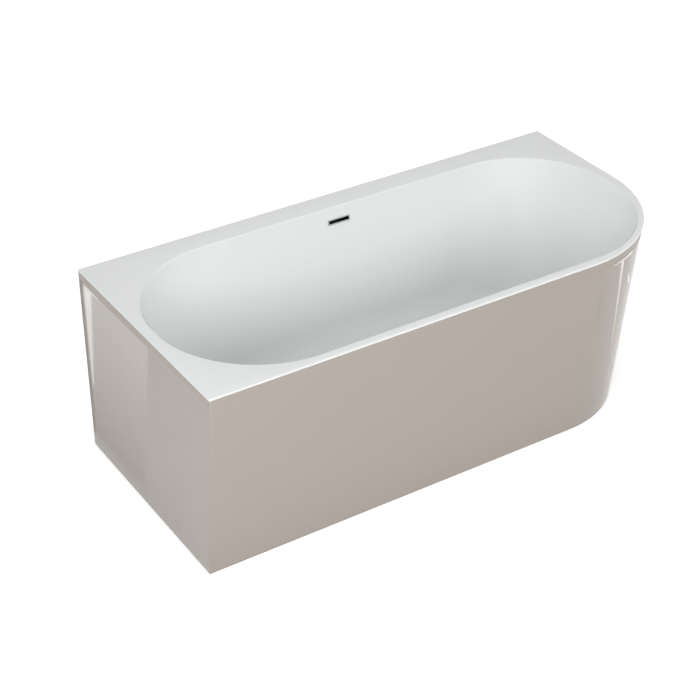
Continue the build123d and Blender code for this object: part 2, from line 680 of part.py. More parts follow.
def overflow_housing():
    """The box behind the slot that turns the water down the pipe."""
    face = SHELL_T + GASKET_T
    half_w = HOUSING_W / 2 - HOUSING_SIDE
    body = box((-half_w, half_w), (SLOT_Y, HOUSING_BACK), (HOUSING_LOW, HOUSING_LOW + HOUSING_H))
    body = fillet(body.edges().group_by(Axis.Y)[-1], HOUSING_ROUND)
    hollow = offset(body, -HOUSING_T)
    in_front = slab(face, HOUSING_H, 2 * HOUSING_W, 4 * HOUSING_H)
    plate = slab(face + HOUSING_T, HOUSING_T, HOUSING_W, HOUSING_H, HOUSING_CORNER_R)
    socket_low = HOUSING_LOW - HOUSING_SOCKET_L
    socket = post((0, DOWN_Y), socket_low, HOUSING_LOW + PAST, SOCKET_R)
    housing = body + socket - hollow - in_front + plate
    housing -= post((0, DOWN_Y), socket_low - PAST, HOUSING_LOW + HOUSING_T + PAST, HOSE_R)
    return housing - slab(SLEEVE_L, SLEEVE_L, SLEEVE_W, SLEEVE_H)


def overflow_pipe():
    """The upright overflow pipe down the back of the basin."""
    low = BRANCH_Z + BEND_R + HOSE_STOP
    return post((0, DOWN_Y), low, HOUSING_LOW, HOSE_R, HOSE_R - HOSE_T)


def overflow_bend():
    """The bend at the foot of the overflow pipe, with a socket at each end."""
    corner = Vector(0, DOWN_Y - BEND_R, BRANCH_Z + BEND_R)
    turn_line = Axis(corner, (1, 0, 0))
    mouth = Plane(origin=(0, DOWN_Y, corner.Z), z_dir=(0, 0, -1))
    ring = mouth * (Circle(SOCKET_R) - Circle(HOSE_R - HOSE_T))
    bend = revolve(ring, axis=turn_line, revolution_arc=-90)
    stop_up, stop_back = corner.Z + HOSE_STOP, corner.Y - HOSE_STOP
    bend += post((0, DOWN_Y), corner.Z, stop_up, SOCKET_R, HOSE_R - HOSE_T)
    bend += post((0, DOWN_Y), stop_up, corner.Z + BEND_SOCKET_L, SOCKET_R, HOSE_R)
    bend += pipe_y(0, BRANCH_Z, stop_back, corner.Y, SOCKET_R, HOSE_R - HOSE_T)
    return bend + pipe_y(0, BRANCH_Z, corner.Y - BEND_SOCKET_L, stop_back, SOCKET_R, HOSE_R)


def overflow_branch():
    """The level overflow pipe from the bend to the waste body."""
    start, end = DRAIN_Y + BODY_R + HOSE_STOP, DOWN_Y - BEND_R - HOSE_STOP
    return pipe_y(0, BRANCH_Z, start, end, HOSE_R, HOSE_R - HOSE_T)


def write_shells():
    """Writes the shell, the casing and what joins them."""
    shell_cuts = (-SHELL_CUT_X, -SLEEVE_W / 2, SLEEVE_W / 2, SHELL_CUT_X)
    save("bath_shell", *divided(bath_shell(), shell_cuts, (DRAIN_Y,)))
    casing_cuts = (-LENGTH / 2 + REVEAL + CASING_T, LENGTH / 2 - CORNER_R)
    save("casing", *divided(casing(), casing_cuts, (-WIDTH / 2 + CORNER_R,)))
    save("bond_bead", bond_bead())
    save("base_board", base_board())
    save("back_batten", back_batten())
    save("casing_blocks", *casing_blocks())


def write_frame():
    """Writes the welded frame as its tubes, and what is fixed to it."""
    save("frame_rail_front", rail(-RAIL_HALF, RAIL_HALF, RAIL_Y[0]))
    save("frame_rail_back_left", rail(-RAIL_HALF, -BAY_HALF, RAIL_Y[1]))
    save("frame_rail_back_right", rail(BAY_HALF, RAIL_HALF, RAIL_Y[1]))
    save("crossbar_left", crossbar(-OUTER_BAR_X, OUTER_BAR_Y))
    save("crossbar_middle_left", crossbar(-INNER_BAR_X, INNER_BAR_Y))
    save("crossbar_middle_right", crossbar(INNER_BAR_X, INNER_BAR_Y))
    save("crossbar_right", crossbar(OUTER_BAR_X, OUTER_BAR_Y))
    save("upright_left", upright(-OUTER_BAR_X))
    save("upright_right", upright(OUTER_BAR_X))
    save("upright_plates", *upright_plates())
    save("frame_end_caps", *end_caps())
    save("casing_brackets", *casing_brackets())
    save("bracket_screws", *bracket_screws())
    save("board_screws", *board_screws())
    save("batten_screws", *batten_screws())


def write_feet():
    """Writes the six levelling feet and their nuts."""
    weld = BAR_Z - WELD_NUT_H
    lock = weld - LOCK_NUT_H
    bore = STUD_R + RUN
    save("foot_weld_nuts", *[hexagon(p, weld, BAR_Z, bore) for p in FEET.values()])
    save("foot_lock_nuts", *[hexagon(p, lock, weld, bore) for p in FEET.values()])
    for name, place in FEET.items():
        save(f"foot_stud_{name}", foot_stud(place))
        save(f"foot_pad_{name}", foot_pad(place))


def write_waste():
    """Writes the waste, the plug, the trap and the overflow."""
    save("waste_flange", waste_flange())
    save("waste_gasket_top", waste_gasket_top())
    save("waste_gasket_bottom", waste_gasket_bottom())
    save("waste_body", waste_body())
    save("plug_cap", plug_cap())
    save("plug_seal", plug_seal())
    save("plug_stem", plug_stem())
    save("plug_cartridge", plug_cartridge())
    save("trap_inlet_nut", trap_inlet_nut())
    save("trap_body", trap_body())
    save("trap_cap", trap_cap())
    save("trap_outlet_nut", trap_outlet_nut())
    save("outlet_pipe", outlet_pipe())
    save("overflow_cover", overflow_cover())
    save("overflow_gasket", overflow_gasket())
    save("overflow_housing", overflow_housing())
    save("overflow_pipe", overflow_pipe())
    save("overflow_bend", overflow_bend())
    save("overflow_branch", overflow_branch())


write_shells()
write_frame()
write_feet()
write_waste()
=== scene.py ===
"""The looks of a freestanding corner bath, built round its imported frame.

Lengths are metres. The origin is on the floor under the middle of the bath: +X runs along it to the
rounded end, +Y runs back to the wall and +Z is up.
"""

import json
import logging
import math
from dataclasses import dataclass
from enum import Enum, IntEnum
from typing import Callable, Iterable, Sequence

import bmesh
import bpy
from mathutils import Matrix, Vector

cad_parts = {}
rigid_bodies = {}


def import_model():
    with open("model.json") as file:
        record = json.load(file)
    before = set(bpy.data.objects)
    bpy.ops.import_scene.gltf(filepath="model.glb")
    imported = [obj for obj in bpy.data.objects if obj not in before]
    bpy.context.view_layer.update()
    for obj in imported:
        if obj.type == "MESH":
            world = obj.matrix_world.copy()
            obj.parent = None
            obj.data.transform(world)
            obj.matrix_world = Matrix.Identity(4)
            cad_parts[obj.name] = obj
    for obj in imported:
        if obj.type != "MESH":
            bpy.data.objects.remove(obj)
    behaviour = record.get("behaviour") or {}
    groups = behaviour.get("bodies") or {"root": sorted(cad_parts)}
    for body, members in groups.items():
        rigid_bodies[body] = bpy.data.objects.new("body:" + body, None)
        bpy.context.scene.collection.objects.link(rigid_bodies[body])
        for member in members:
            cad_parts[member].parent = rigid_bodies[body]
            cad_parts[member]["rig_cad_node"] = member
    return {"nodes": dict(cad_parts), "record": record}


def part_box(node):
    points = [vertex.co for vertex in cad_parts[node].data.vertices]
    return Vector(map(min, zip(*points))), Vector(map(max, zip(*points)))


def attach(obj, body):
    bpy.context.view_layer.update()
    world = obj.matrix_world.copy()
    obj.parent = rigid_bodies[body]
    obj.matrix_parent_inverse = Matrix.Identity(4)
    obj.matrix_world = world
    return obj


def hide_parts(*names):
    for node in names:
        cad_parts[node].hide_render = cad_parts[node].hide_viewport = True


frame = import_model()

LOG = logging.getLogger("bath")
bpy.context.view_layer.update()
BATH = "bath"
PLUG = "plug"
FEET = ("front_left", "back_left", "middle_left", "middle_right", "front_right", "back_right")

LENGTH = 1.600
WIDTH = 0.750
HEIGHT = 0.600
CORNER_RADIUS = 0.375
FLOOR_Z = 0.160
DRAIN = (0.0, -0.025)

UPRIGHT = Matrix.Identity(4)
ON_AXIS = 1e-6
SOFT_EDGE = 0.0006
EDGE_SAMPLES = 4
CRISP_ANGLE = 32.0
FINE_TURN = 96

Colour = tuple[float, float, float]
Ring = list[Vector]
Spot = tuple[float, float]
Triple = tuple[float, float, float]
Limit = Callable[[float, float], float]


def linear(red: int, green: int, blue: int) -> Colour:
    """Turns a colour as a screen shows it into the linear one that a shader takes.

    Args:
        red: Red from 0 to 255.
        green: Green from 0 to 255.
        blue: Blue from 0 to 255.

    Returns:
        The three linear values from 0 to 1.
    """
    def one(value: int) -> float:
        """Turns one channel."""
        share = value / 255
        return share / 12.92 if share <= 0.04045 else ((share + 0.055) / 1.055) ** 2.4

    return one(red), one(green), one(blue)


def toned(colour: Colour, share: float) -> Colour:
    """Makes a colour lighter or darker."""
    red, green, blue = colour
    return red * share, green * share, blue * share


@dataclass(frozen=True)
class Lumps:
    """A noise: lumps in a metre, levels of finer noise and how close they lie along X, Y and Z."""

    scale: float
    detail: float = 2.0
    stretch: Triple = (1.0, 1.0, 1.0)


class Wiring:
    """Adds nodes to a tree and joins them."""

    def __init__(self, tree: bpy.types.NodeTree) -> None:
        """Takes the tree to work on."""
        self.tree = tree

    def feed(self, socket: bpy.types.NodeSocket, value: object) -> None:
        """Links a socket to another one, or sets it to a plain value."""
        if isinstance(value, bpy.types.NodeSocket):
            self.tree.links.new(value, socket)
        else:
            socket.default_value = value

    def add(self, kind: str, **values: object) -> bpy.types.Node:
        """Adds a node and sets its sockets or properties.

        Args:
            kind: Blender's name for the node type.
            **values: Socket names, with _ for a space, or property names, and their values.

        Returns:
            The new node.
        """
        node = self.tree.nodes.new(kind)
        for name, value in values.items():
            if hasattr(node, name):
                setattr(node, name, value)
            else:
                self.feed(node.inputs[name.replace("_", " ")], value)
        return node

    def combine(self, kind: str, operation: str, *values: object) -> bpy.types.NodeSocket:
        """Works one value out of several.

        Args:
            kind: Blender's name for the node type.
            operation: What it does with them.
            *values: Sockets or plain values, in the node's own order.

        Returns:
            The result.
        """
        node = self.add(kind, operation=operation)
        for socket, value in zip(node.inputs, values):
            self.feed(socket, value)
        return node.outputs[0]

    def spread(self, value: bpy.types.NodeSocket, low: object, high: object,
               start: float = 0.0, end: float = 1.0) -> bpy.types.NodeSocket:
        """Maps a value from one range to another.

        Args:
            value: The socket to map.
            low: The result at start.
            high: The result at end.
            start: Where the range of the value starts.
            end: Where it ends.

        Returns:
            The mapped value.
        """
        made = self.add("ShaderNodeMapRange", Value=value, From_Min=start, From_Max=end,
                        To_Min=low, To_Max=high)
        return made.outputs[0]

    def seen(self) -> bpy.types.NodeSocket:
        """Makes a value that is 1 for camera, glossy and transmission rays, which show the background."""
        path = self.add("ShaderNodeLightPath").outputs
        value = path["Is Camera Ray"]
        for name in ("Is Glossy Ray", "Is Transmission Ray"):
            value = self.combine("ShaderNodeMath", "MAXIMUM", value, path[name])
        return value


class Bench(Wiring):
    """Builds the node tree of one finish."""

    def __init__(self, name: str, soft: float = 0.0) -> None:
        """Starts an empty material with a principled shader.

        Args:
            name: The finish's name.
            soft: The radius by which light treats sharp edges as rounded, in metres.
        """
        self.material = bpy.data.materials.new(name)
        self.material.use_nodes = True
        super().__init__(self.material.node_tree)
        self.shader = self.tree.nodes["Principled BSDF"]
        self.place = self.add("ShaderNodeTexCoord").outputs["Object"]
        self.rounded: bpy.types.NodeSocket | None = None
        if soft:
            self.rounded = self.add("ShaderNodeBevel", samples=EDGE_SAMPLES, Radius=soft).outputs[0]
            self.set(Normal=self.rounded)

    def set(self, **values: object) -> None:
        """Sets or links sockets of the principled shader.

        Args:
            **values: Socket names, with _ for a space, and numbers, colours or other sockets.
        """
        for name, value in values.items():
            self.feed(self.shader.inputs[name.replace("_", " ")], value)

    def noise(self, lumps: Lumps) -> bpy.types.NodeSocket:
        """Adds a noise over the object, whose value is about 0.5 on average."""
        mapped = self.add("ShaderNodeMapping", Vector=self.place, Scale=lumps.stretch)
        made = self.add("ShaderNodeTexNoise", Vector=mapped.outputs[0], Scale=lumps.scale,
                        Detail=lumps.detail)
        return made.outputs["Fac"]

    def blend(self, share: bpy.types.NodeSocket, first: Colour, second: Colour) -> bpy.types.NodeSocket:
        """Mixes two colours.

        Args:
            share: 0 gives the first colour and 1 the second.
            first: A linear colour.
            second: Another.

        Returns:
            The mixed colour.
        """
        ramp = self.add("ShaderNodeValToRGB", Fac=share)
        ramp.color_ramp.elements[0].color = (*first, 1)
        ramp.color_ramp.elements[1].color = (*second, 1)
        return ramp.outputs[0]

    def bump(self, height: bpy.types.NodeSocket, depth: float, strength: float = 1.0) -> None:
        """Makes the surface uneven.

        Args:
            height: A value from 0 to 1.
            depth: How high 1 stands, in metres.
            strength: How much of it shows.
        """
        made = self.add("ShaderNodeBump", Height=height, Distance=depth, Strength=strength)
        if self.rounded:
            self.feed(made.inputs["Normal"], self.rounded)
        self.set(Normal=made.outputs[0])

    def glow(self, strength: bpy.types.NodeSocket) -> None:
        """Makes the surface shine white by itself."""
        self.set(Emission_Color=(1, 1, 1, 1), Emission_Strength=strength)


@dataclass(frozen=True)
class GlossAcrylic:
    """Cast acrylic sheet with a polished face."""

    name: str
    colour: Colour
    roughness: float
    refraction: float = 1.49
    cloud: Lumps = Lumps(3.0, 3.0)
    cloud_tone: float = 0.985
    wiping: Lumps = Lumps(9.0, 6.0, (1.0, 1.6, 0.5))
    wiping_range: Spot = (0.3, 0.7)
    smoothest: float = 0.8
    dullest: float = 1.25
    waves: Lumps = Lumps(45.0, 1.0)
    wave_depth: float = 0.00002

    def make(self) -> bpy.types.Material:
        """Builds the finish: an even colour, faint wiping marks and the sheet's slight waviness."""
        bench = Bench(self.name)
        darker = toned(self.colour, self.cloud_tone)
        bench.set(Base_Color=bench.blend(bench.noise(self.cloud), darker, self.colour), IOR=self.refraction)
        bench.set(Roughness=bench.spread(bench.noise(self.wiping), self.roughness * self.smoothest,
                                         self.roughness * self.dullest, *self.wiping_range))
        bench.bump(bench.noise(self.waves), self.wave_depth)
        return bench.material


@dataclass(frozen=True)
class ReinforcedBack:
    """The rough side of the acrylic, sprayed with resin and chopped glass strands."""

    name: str = "reinforced_back"
    resin: Colour = linear(206, 202, 188)
    strand: Colour = linear(229, 227, 218)
    long_way: Lumps = Lumps(160.0, 3.0, (0.25, 1.4, 1.0))
    other_way: Lumps = Lumps(160.0, 3.0, (1.4, 0.25, 0.6))
    colour_range: Spot = (0.45, 0.75)
    gloss_range: Spot = (0.4, 0.8)
    roughness: Spot = (0.5, 0.75)
    strand_height: float = 0.0012
    relief: float = 0.6

    def make(self) -> bpy.types.Material:
        """Builds the finish: short pale strands lying every way in a dull, lumpy resin."""
        bench = Bench(self.name)
        ways = (bench.noise(self.long_way), bench.noise(self.other_way))
        strands = bench.combine("ShaderNodeMath", "MAXIMUM", *ways)
        share = bench.spread(strands, 0, 1, *self.colour_range)
        bench.set(Base_Color=bench.blend(share, self.resin, self.strand))
        bench.set(Roughness=bench.spread(strands, *self.roughness, *self.gloss_range))
        bench.bump(strands, self.strand_height, self.relief)
        return bench.material


@dataclass(frozen=True)
class Sealant:
    """A smoothed bead of bonding sealant."""

    name: str = "grey_bead"
    colour: Colour = linear(150, 149, 147)
    cloud: Lumps = Lumps(60.0)
    cloud_tone: float = 1.1
    gloss: Lumps = Lumps(200.0)
    roughness: Spot = (0.4, 0.6)
    waves: Lumps = Lumps(150.0)
    wave_depth: float = 0.0001

    def make(self) -> bpy.types.Material:
        """Builds the finish: dull, slightly uneven rubber."""
        bench = Bench(self.name)
        lighter = toned(self.colour, self.cloud_tone)
        bench.set(Base_Color=bench.blend(bench.noise(self.cloud), self.colour, lighter))
        bench.set(Roughness=bench.spread(bench.noise(self.gloss), *self.roughness))
        bench.bump(bench.noise(self.waves), self.wave_depth)
        return bench.material


@dataclass(frozen=True)
class Galvanised:
    """Hot dipped steel with zinc spangles."""

    name: str = "galvanised_steel"
    colour: Colour = linear(176, 180, 184)
    spangles: float = 130.0
    spangle_tone: float = 0.72
    metal: float = 0.9
    roughness: Spot = (0.32, 0.55)
    drips: Lumps = Lumps(90.0, 3.0)
    drip_depth: float = 0.0002

    def make(self) -> bpy.types.Material:
        """Builds the finish: crystals a few millimetres across, each with its own tone and gloss."""
        bench = Bench(self.name, SOFT_EDGE)
        crystals = bench.add("ShaderNodeTexVoronoi", Vector=bench.place, Scale=self.spangles)
        tone = bench.add("ShaderNodeSeparateColor", Color=crystals.outputs["Color"]).outputs[0]
        dark = toned(self.colour, self.spangle_tone)
        bench.set(Base_Color=bench.blend(tone, dark, self.colour), Metallic=self.metal)
        bench.set(Roughness=bench.spread(tone, *self.roughness))
        bench.bump(bench.noise(self.drips), self.drip_depth)
        return bench.material


@dataclass(frozen=True)
class PlatedMetal:
    """Plated metal: zinc, chrome or brass, told apart by colour and roughness."""

    name: str
    colour: Colour
    roughness: float
    grain_depth: float = 0.000008
    marks: Lumps = Lumps(70.0, 5.0)
    mark_tone: float = 0.94
    smoothest: float = 0.7
    dullest: float = 1.4
    grain: Lumps = Lumps(900.0)

    def make(self) -> bpy.types.Material:
        """Builds the finish: metal with faint handling marks, and a grain where it isn't polished."""
        bench = Bench(self.name, SOFT_EDGE)
        marks = bench.noise(self.marks)
        bench.set(Base_Color=bench.blend(marks, toned(self.colour, self.mark_tone), self.colour))
        bench.set(Metallic=1.0, Roughness=bench.spread(marks, self.roughness * self.smoothest,
                                                       self.roughness * self.dullest))
        bench.bump(bench.noise(self.grain), self.grain_depth)
        return bench.material


@dataclass(frozen=True)
class Moulded:
    """Injection moulded plastic or rubber."""

    name: str
    colour: Colour
    roughness: float
    grain_depth: float = 0.00005
    flow: Lumps = Lumps(25.0, 3.0)
    flow_tone: float = 0.93
    gloss: Lumps = Lumps(300.0)
    smoothest: float = 0.85
    dullest: float = 1.15
    grain: Lumps = Lumps(1500.0, 1.0)

    def make(self) -> bpy.types.Material:
        """Builds the finish: a fine spark-eroded grain and slight flow marks in the colour."""
        bench = Bench(self.name, SOFT_EDGE)
        darker = toned(self.colour, self.flow_tone)
        bench.set(Base_Color=bench.blend(bench.noise(self.flow), darker, self.colour))
        bench.set(Roughness=bench.spread(bench.noise(self.gloss), self.roughness * self.smoothest,
                                         self.roughness * self.dullest))
        bench.bump(bench.noise(self.grain), self.grain_depth)
        return bench.material


@dataclass(frozen=True)
class SawnTimber:
    """Planed softwood, with its grain along X."""

    name: str = "softwood"
    early: Colour = linear(216, 182, 134)
    late: Colour = linear(173, 126, 76)
    bend: Lumps = Lumps(6.0, 2.0, (0.3, 1.0, 1.0))
    rings: float = 28.0
    ring_distortion: float = 7.0
    ring_detail: float = 2.5
    ring_detail_scale: float = 0.6
    fibre: Lumps = Lumps(260.0, 4.0, (0.03, 1.0, 1.0))
    fibre_share: float = 0.35
    fibre_depth: float = 0.0003
    relief: float = 0.6
    roughness: float = 0.62

    def make(self) -> bpy.types.Material:
        """Builds the finish: yearly rings seen along the board, fibres and a dull sheen."""
        bench = Bench(self.name, SOFT_EDGE)
        rings = bench.add("ShaderNodeTexWave", Vector=bench.place, Scale=self.rings,
                          Distortion=self.ring_distortion, bands_direction="Z", Detail=self.ring_detail,
                          Detail_Scale=self.ring_detail_scale)
        fibre = bench.noise(self.fibre)
        both = bench.combine("ShaderNodeMath", "MULTIPLY_ADD", fibre, self.fibre_share, rings.outputs["Fac"])
        tone = bench.combine("ShaderNodeMath", "MULTIPLY", both, bench.noise(self.bend))
        bench.set(Base_Color=bench.blend(tone, self.early, self.late), Roughness=self.roughness)
        bench.bump(fibre, self.fibre_depth, self.relief)
        return bench.material


@dataclass(frozen=True)
class Particleboard:
    """Pressed wood chips."""

    name: str = "particleboard"
    pale: Colour = linear(205, 177, 134)
    dark: Colour = linear(150, 117, 78)
    chips: float = 210.0
    warp: float = 90.0
    warp_reach: Triple = (0.006, 0.006, 0.003)
    roughness: Spot = (0.55, 0.75)
    chip_depth: float = 0.0004
    relief: float = 0.5

    def make(self) -> bpy.types.Material:
        """Builds the finish: flat chips of several tones, slightly raised."""
        bench = Bench(self.name, SOFT_EDGE)
        warp = bench.add("ShaderNodeTexNoise", Vector=bench.place, Scale=self.warp).outputs["Color"]
        warped = bench.combine("ShaderNodeVectorMath", "MULTIPLY_ADD", warp, self.warp_reach, bench.place)
        chips = bench.add("ShaderNodeTexVoronoi", Vector=warped, Scale=self.chips)
        tone = bench.add("ShaderNodeSeparateColor", Color=chips.outputs["Color"]).outputs[1]
        bench.set(Base_Color=bench.blend(tone, self.dark, self.pale))
        bench.set(Roughness=bench.spread(tone, *self.roughness))
        bench.bump(tone, self.chip_depth, self.relief)
        return bench.material


class Slot(Enum):
    """The record's material slots."""

    WHITE = "white_acrylic"
    TAUPE = "taupe_acrylic"
    BEAD = "bead"
    BOARD = "board"
    TIMBER = "timber"
    STEEL = "frame_steel"
    BLACK = "black_plastic"
    ZINC = "zinc"
    CHROME = "chrome"
    RUBBER = "seal_rubber"
    BRASS = "brass"
    WHITE_PLASTIC = "white_plastic"
    GREY_PLASTIC = "grey_plastic"


class Finishes:
    """Every finish of the bath, by material slot."""

    def __init__(self) -> None:
        """Builds the finishes."""
        self.back = ReinforcedBack().make()
        self.by_slot: dict[Slot, bpy.types.Material] = {
            Slot.WHITE: GlossAcrylic("white_acrylic_gloss", linear(228, 230, 229), 0.10).make(),
            Slot.TAUPE: GlossAcrylic("taupe_acrylic_gloss", linear(165, 156, 148), 0.04).make(),
            Slot.BEAD: Sealant().make(),
            Slot.BOARD: Particleboard().make(),
            Slot.TIMBER: SawnTimber().make(),
            Slot.STEEL: Galvanised().make(),
            Slot.BLACK: Moulded("black_moulding", linear(38, 38, 40), 0.42).make(),
            Slot.ZINC: PlatedMetal("bright_zinc", linear(190, 193, 198), 0.28, 0.000032).make(),
            Slot.CHROME: PlatedMetal("polished_chrome", linear(226, 228, 230), 0.05).make(),
            Slot.RUBBER: Moulded("seal_rubber_black", linear(30, 30, 31), 0.62, 0.000025).make(),
            Slot.BRASS: PlatedMetal("turned_brass", linear(205, 168, 98), 0.24, 0.00004).make(),
            Slot.WHITE_PLASTIC: Moulded("white_moulding", linear(226, 227, 225), 0.35, 0.000025).make(),
            Slot.GREY_PLASTIC: Moulded("grey_moulding", linear(134, 137, 140), 0.4, 0.000035).make(),
        }

    def dress(self, piece: bpy.types.Object, *slots: Slot) -> None:
        """Gives a piece its finishes.

        Args:
            piece: The piece to dress.
            *slots: Its finishes, in the order of its faces' material numbers.
        """
        finishes = piece.data.materials
        for i, slot in enumerate(slots):
            if i < len(finishes):
                finishes[i] = self.by_slot[slot]
            else:
                finishes.append(self.by_slot[slot])


def add_piece(name: str, shape: bmesh.types.BMesh, body: str) -> bpy.types.Object:
    """Turns a finished shape into a piece that rides on a body.

    Args:
        name: The piece's name.
        shape: The shape, which is used up.
        body: The CAD body that carries it.

    Returns:
        The new piece.
    """
    bmesh.ops.recalc_face_normals(shape, faces=shape.faces)
    mesh = bpy.data.meshes.new(name)
    shape.to_mesh(mesh)
    shape.free()
    mesh.polygons.foreach_set("use_smooth", [True] * len(mesh.polygons))
    mesh.set_sharp_from_angle(angle=math.radians(CRISP_ANGLE))
    piece = bpy.data.objects.new(name, mesh)
    bpy.context.scene.collection.objects.link(piece)
    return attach(piece, body)


def add_ring(shape: bmesh.types.BMesh, points: Iterable[Vector]) -> list[bmesh.types.BMVert]:
    """Adds a row of points to a shape."""
    return [shape.verts.new(p) for p in points]


def bridge(shape: bmesh.types.BMesh, first: list[bmesh.types.BMVert], second: list[bmesh.types.BMVert],
           closed: bool = True, material: int = 0) -> None:
    """Joins two rows of as many points with four-sided faces.

    Args:
        shape: The shape that the rows are in.
        first: One row.
        second: The next.
        closed: Whether each row is a ring.
        material: The faces' material number.
    """
    if len(first) == 1 or len(second) == 1:
        ring, tip = (second, first[0]) if len(first) == 1 else (first, second[0])
        for i, vert in enumerate(ring):
            shape.faces.new((vert, ring[(i + 1) % len(ring)], tip)).material_index = material
        return
    count = len(first)
    for i in range(count if closed else count - 1):
        j = (i + 1) % count
        face = shape.faces.new((first[i], first[j], second[j], second[i]))
        face.material_index = material


def turned(shape: bmesh.types.BMesh, outline: Sequence[Spot], place: Matrix = UPRIGHT,
           steps: int = 64, limit: Limit | None = None) -> None:
    """Turns an outline round the Z line, as a lathe does.

    Args:
        shape: The shape to add to.
        outline: Points of (radius, height). It is joined to itself unless it starts on the line.
        place: Puts the turned shape in its place.
        steps: Steps round the line.
        limit: The largest radius at an angle and a height, which makes flats, ribs or a thread.
    """
    rows = []
    for radius, height in outline:
        if radius < ON_AXIS:
            rows.append(add_ring(shape, [place @ Vector((0, 0, height))]))
            continue
        points = []
        for i in range(steps):
            angle = math.tau * i / steps
            reach = min(radius, limit(angle, height)) if limit else radius
            points.append(place @ Vector((reach * math.cos(angle), reach * math.sin(angle), height)))
        rows.append(add_ring(shape, points))
    if outline[0][0] >= ON_AXIS:
        rows.append(rows[0])
    for first, second in zip(rows, rows[1:]):
        bridge(shape, first, second)


def eased(corners: Sequence[Spot], by: float, steps: int = 3) -> list[Spot]:
    """Rounds the corners of an outline that don't lie on the line it is turned round.

    Args:
        corners: Points of (radius, height).
        by: How far from each corner its round starts.
        steps: Steps in each round.

    Returns:
        The rounded outline.
    """
    made: list[Spot] = []
    most = 0.45
    for i, corner in enumerate(corners):
        if corner[0] < ON_AXIS:
            made.append(corner)
            continue
        here, before, after = Vector(corner), Vector(corners[i - 1]), Vector(corners[(i + 1) % len(corners)])
        start = here.lerp(before, min(by / (before - here).length, most))
        end = here.lerp(after, min(by / (after - here).length, most))
        for j in range(steps + 1):
            share = j / steps
            point = start.lerp(here, share).lerp(here.lerp(end, share), share)
            made.append((point.x, point.y))
    return made


def hexagonal(across: float) -> Limit:
    """Makes the limit that cuts six flats.

    Args:
        across: The distance across the flats.

    Returns:
        The limit.
    """
    def limit(angle: float, _height: float) -> float:
        """Measures the hexagon at an angle."""
        turn = (angle + math.pi / 6) % (math.pi / 3) - math.pi / 6
        return across / 2 / math.cos(turn)

    return limit


def threaded(radius: float, pitch: float, depth: float) -> Limit:
    """Makes the limit that cuts a right-hand thread.

    Args:
        radius: The thread's outer radius.
        pitch: How far it rises in one turn.
        depth: How deep it is cut.

    Returns:
        The limit.
    """
    def limit(angle: float, height: float) -> float:
        """Measures the thread at an angle and a height."""
        turn = (height / pitch - angle / math.tau) % 1
        return radius - depth * (1 - abs(2 * turn - 1))

    return limit


def carve(piece: bpy.types.Object, cutter: bmesh.types.BMesh) -> None:
    """Cuts a closed shape out of a piece.

    Args:
        piece: The piece.
        cutter: The shape, which is used up.
    """
    bmesh.ops.recalc_face_normals(cutter, faces=cutter.faces)
    mesh = bpy.data.meshes.new("cutter")
    cutter.to_mesh(mesh)
    cutter.free()
    tool = bpy.data.objects.new("cutter", mesh)
    bpy.context.scene.collection.objects.link(tool)
    change = piece.modifiers.new("cut", "BOOLEAN")
    change.operation, change.object, change.solver = "DIFFERENCE", tool, "EXACT"
    graph = bpy.context.evaluated_depsgraph_get()
    made = bpy.data.meshes.new_from_object(piece.evaluated_get(graph))
    piece.modifiers.clear()
    whole = piece.data
    piece.data = made
    bpy.data.meshes.remove(whole)
    bpy.data.objects.remove(tool)
    bpy.data.meshes.remove(mesh)
    made.set_sharp_from_angle(angle=math.radians(CRISP_ANGLE))


def span(node: str) -> tuple[Vector, Vector]:
    """Finds the lowest and the highest corner of a CAD node."""
    low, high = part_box(node)
    return Vector(low), Vector(high)


class Corner(IntEnum):
    """An outline's corners, in the order of a walk round it."""

    FRONT_RIGHT = 0
    BACK_RIGHT = 1
    BACK_LEFT = 2
    FRONT_LEFT = 3


@dataclass(frozen=True)
class Station:
    """A place on an outline: on a corner's arc, or a share of the way along the side after it."""

    corner: Corner
    angle: float
    along: float = 0.0

    @property
    def normal(self) -> Vector:
        """The outward direction in plan."""
        return Vector((math.cos(self.angle), math.sin(self.angle), 0.0))


def stations(arc_steps: int, side_steps: Sequence[int]) -> list[Station]:
    """Walks once round an outline, from the front right corner by the right, the back and the left.

    Args:
        arc_steps: Steps in each corner.
        side_steps: Steps along the right, back, left and front.

    Returns:
        The stations in order.
    """
    found = []
    for corner in Corner:
        start = math.radians(90 * (corner - 1))
        found += [Station(corner, start + math.pi / 2 * i / arc_steps) for i in range(arc_steps + 1)]
        steps = side_steps[corner]
        found += [Station(corner, start + math.pi / 2, i / steps) for i in range(1, steps)]
    return found


@dataclass(frozen=True)
class Plan:
    """A rectangle in plan, with a radius for the front right, back right, back left and front left."""

    left: float
    right: float
    front: float
    back: float
    radii: tuple[float, float, float, float]

    def centre(self, corner: Corner) -> Vector:
        """Finds the centre of a corner's arc."""
        r = self.radii[corner]
        x = self.right - r if corner in (Corner.FRONT_RIGHT, Corner.BACK_RIGHT) else self.left + r
        y = self.front + r if corner in (Corner.FRONT_RIGHT, Corner.FRONT_LEFT) else self.back - r
        return Vector((x, y, 0.0))

    def spot(self, station: Station) -> Vector:
        """Finds a station's point in plan."""
        here = self.centre(station.corner) + station.normal * self.radii[station.corner]
        if not station.along:
            return here
        after = Corner((station.corner + 1) % len(Corner))
        there = self.centre(after) + station.normal * self.radii[after]
        return here.lerp(there, station.along)

    def reach(self, station: Station) -> float:
        """Measures how far the outline stands out along a station's normal."""
        return self.centre(station.corner).dot(station.normal) + self.radii[station.corner]

    def grown(self, by: float) -> "Plan":
        """Moves the outline outwards."""
        radii = tuple(max(r + by, 0.0) for r in self.radii)
        return Plan(self.left - by, self.right + by, self.front - by, self.back + by, radii)


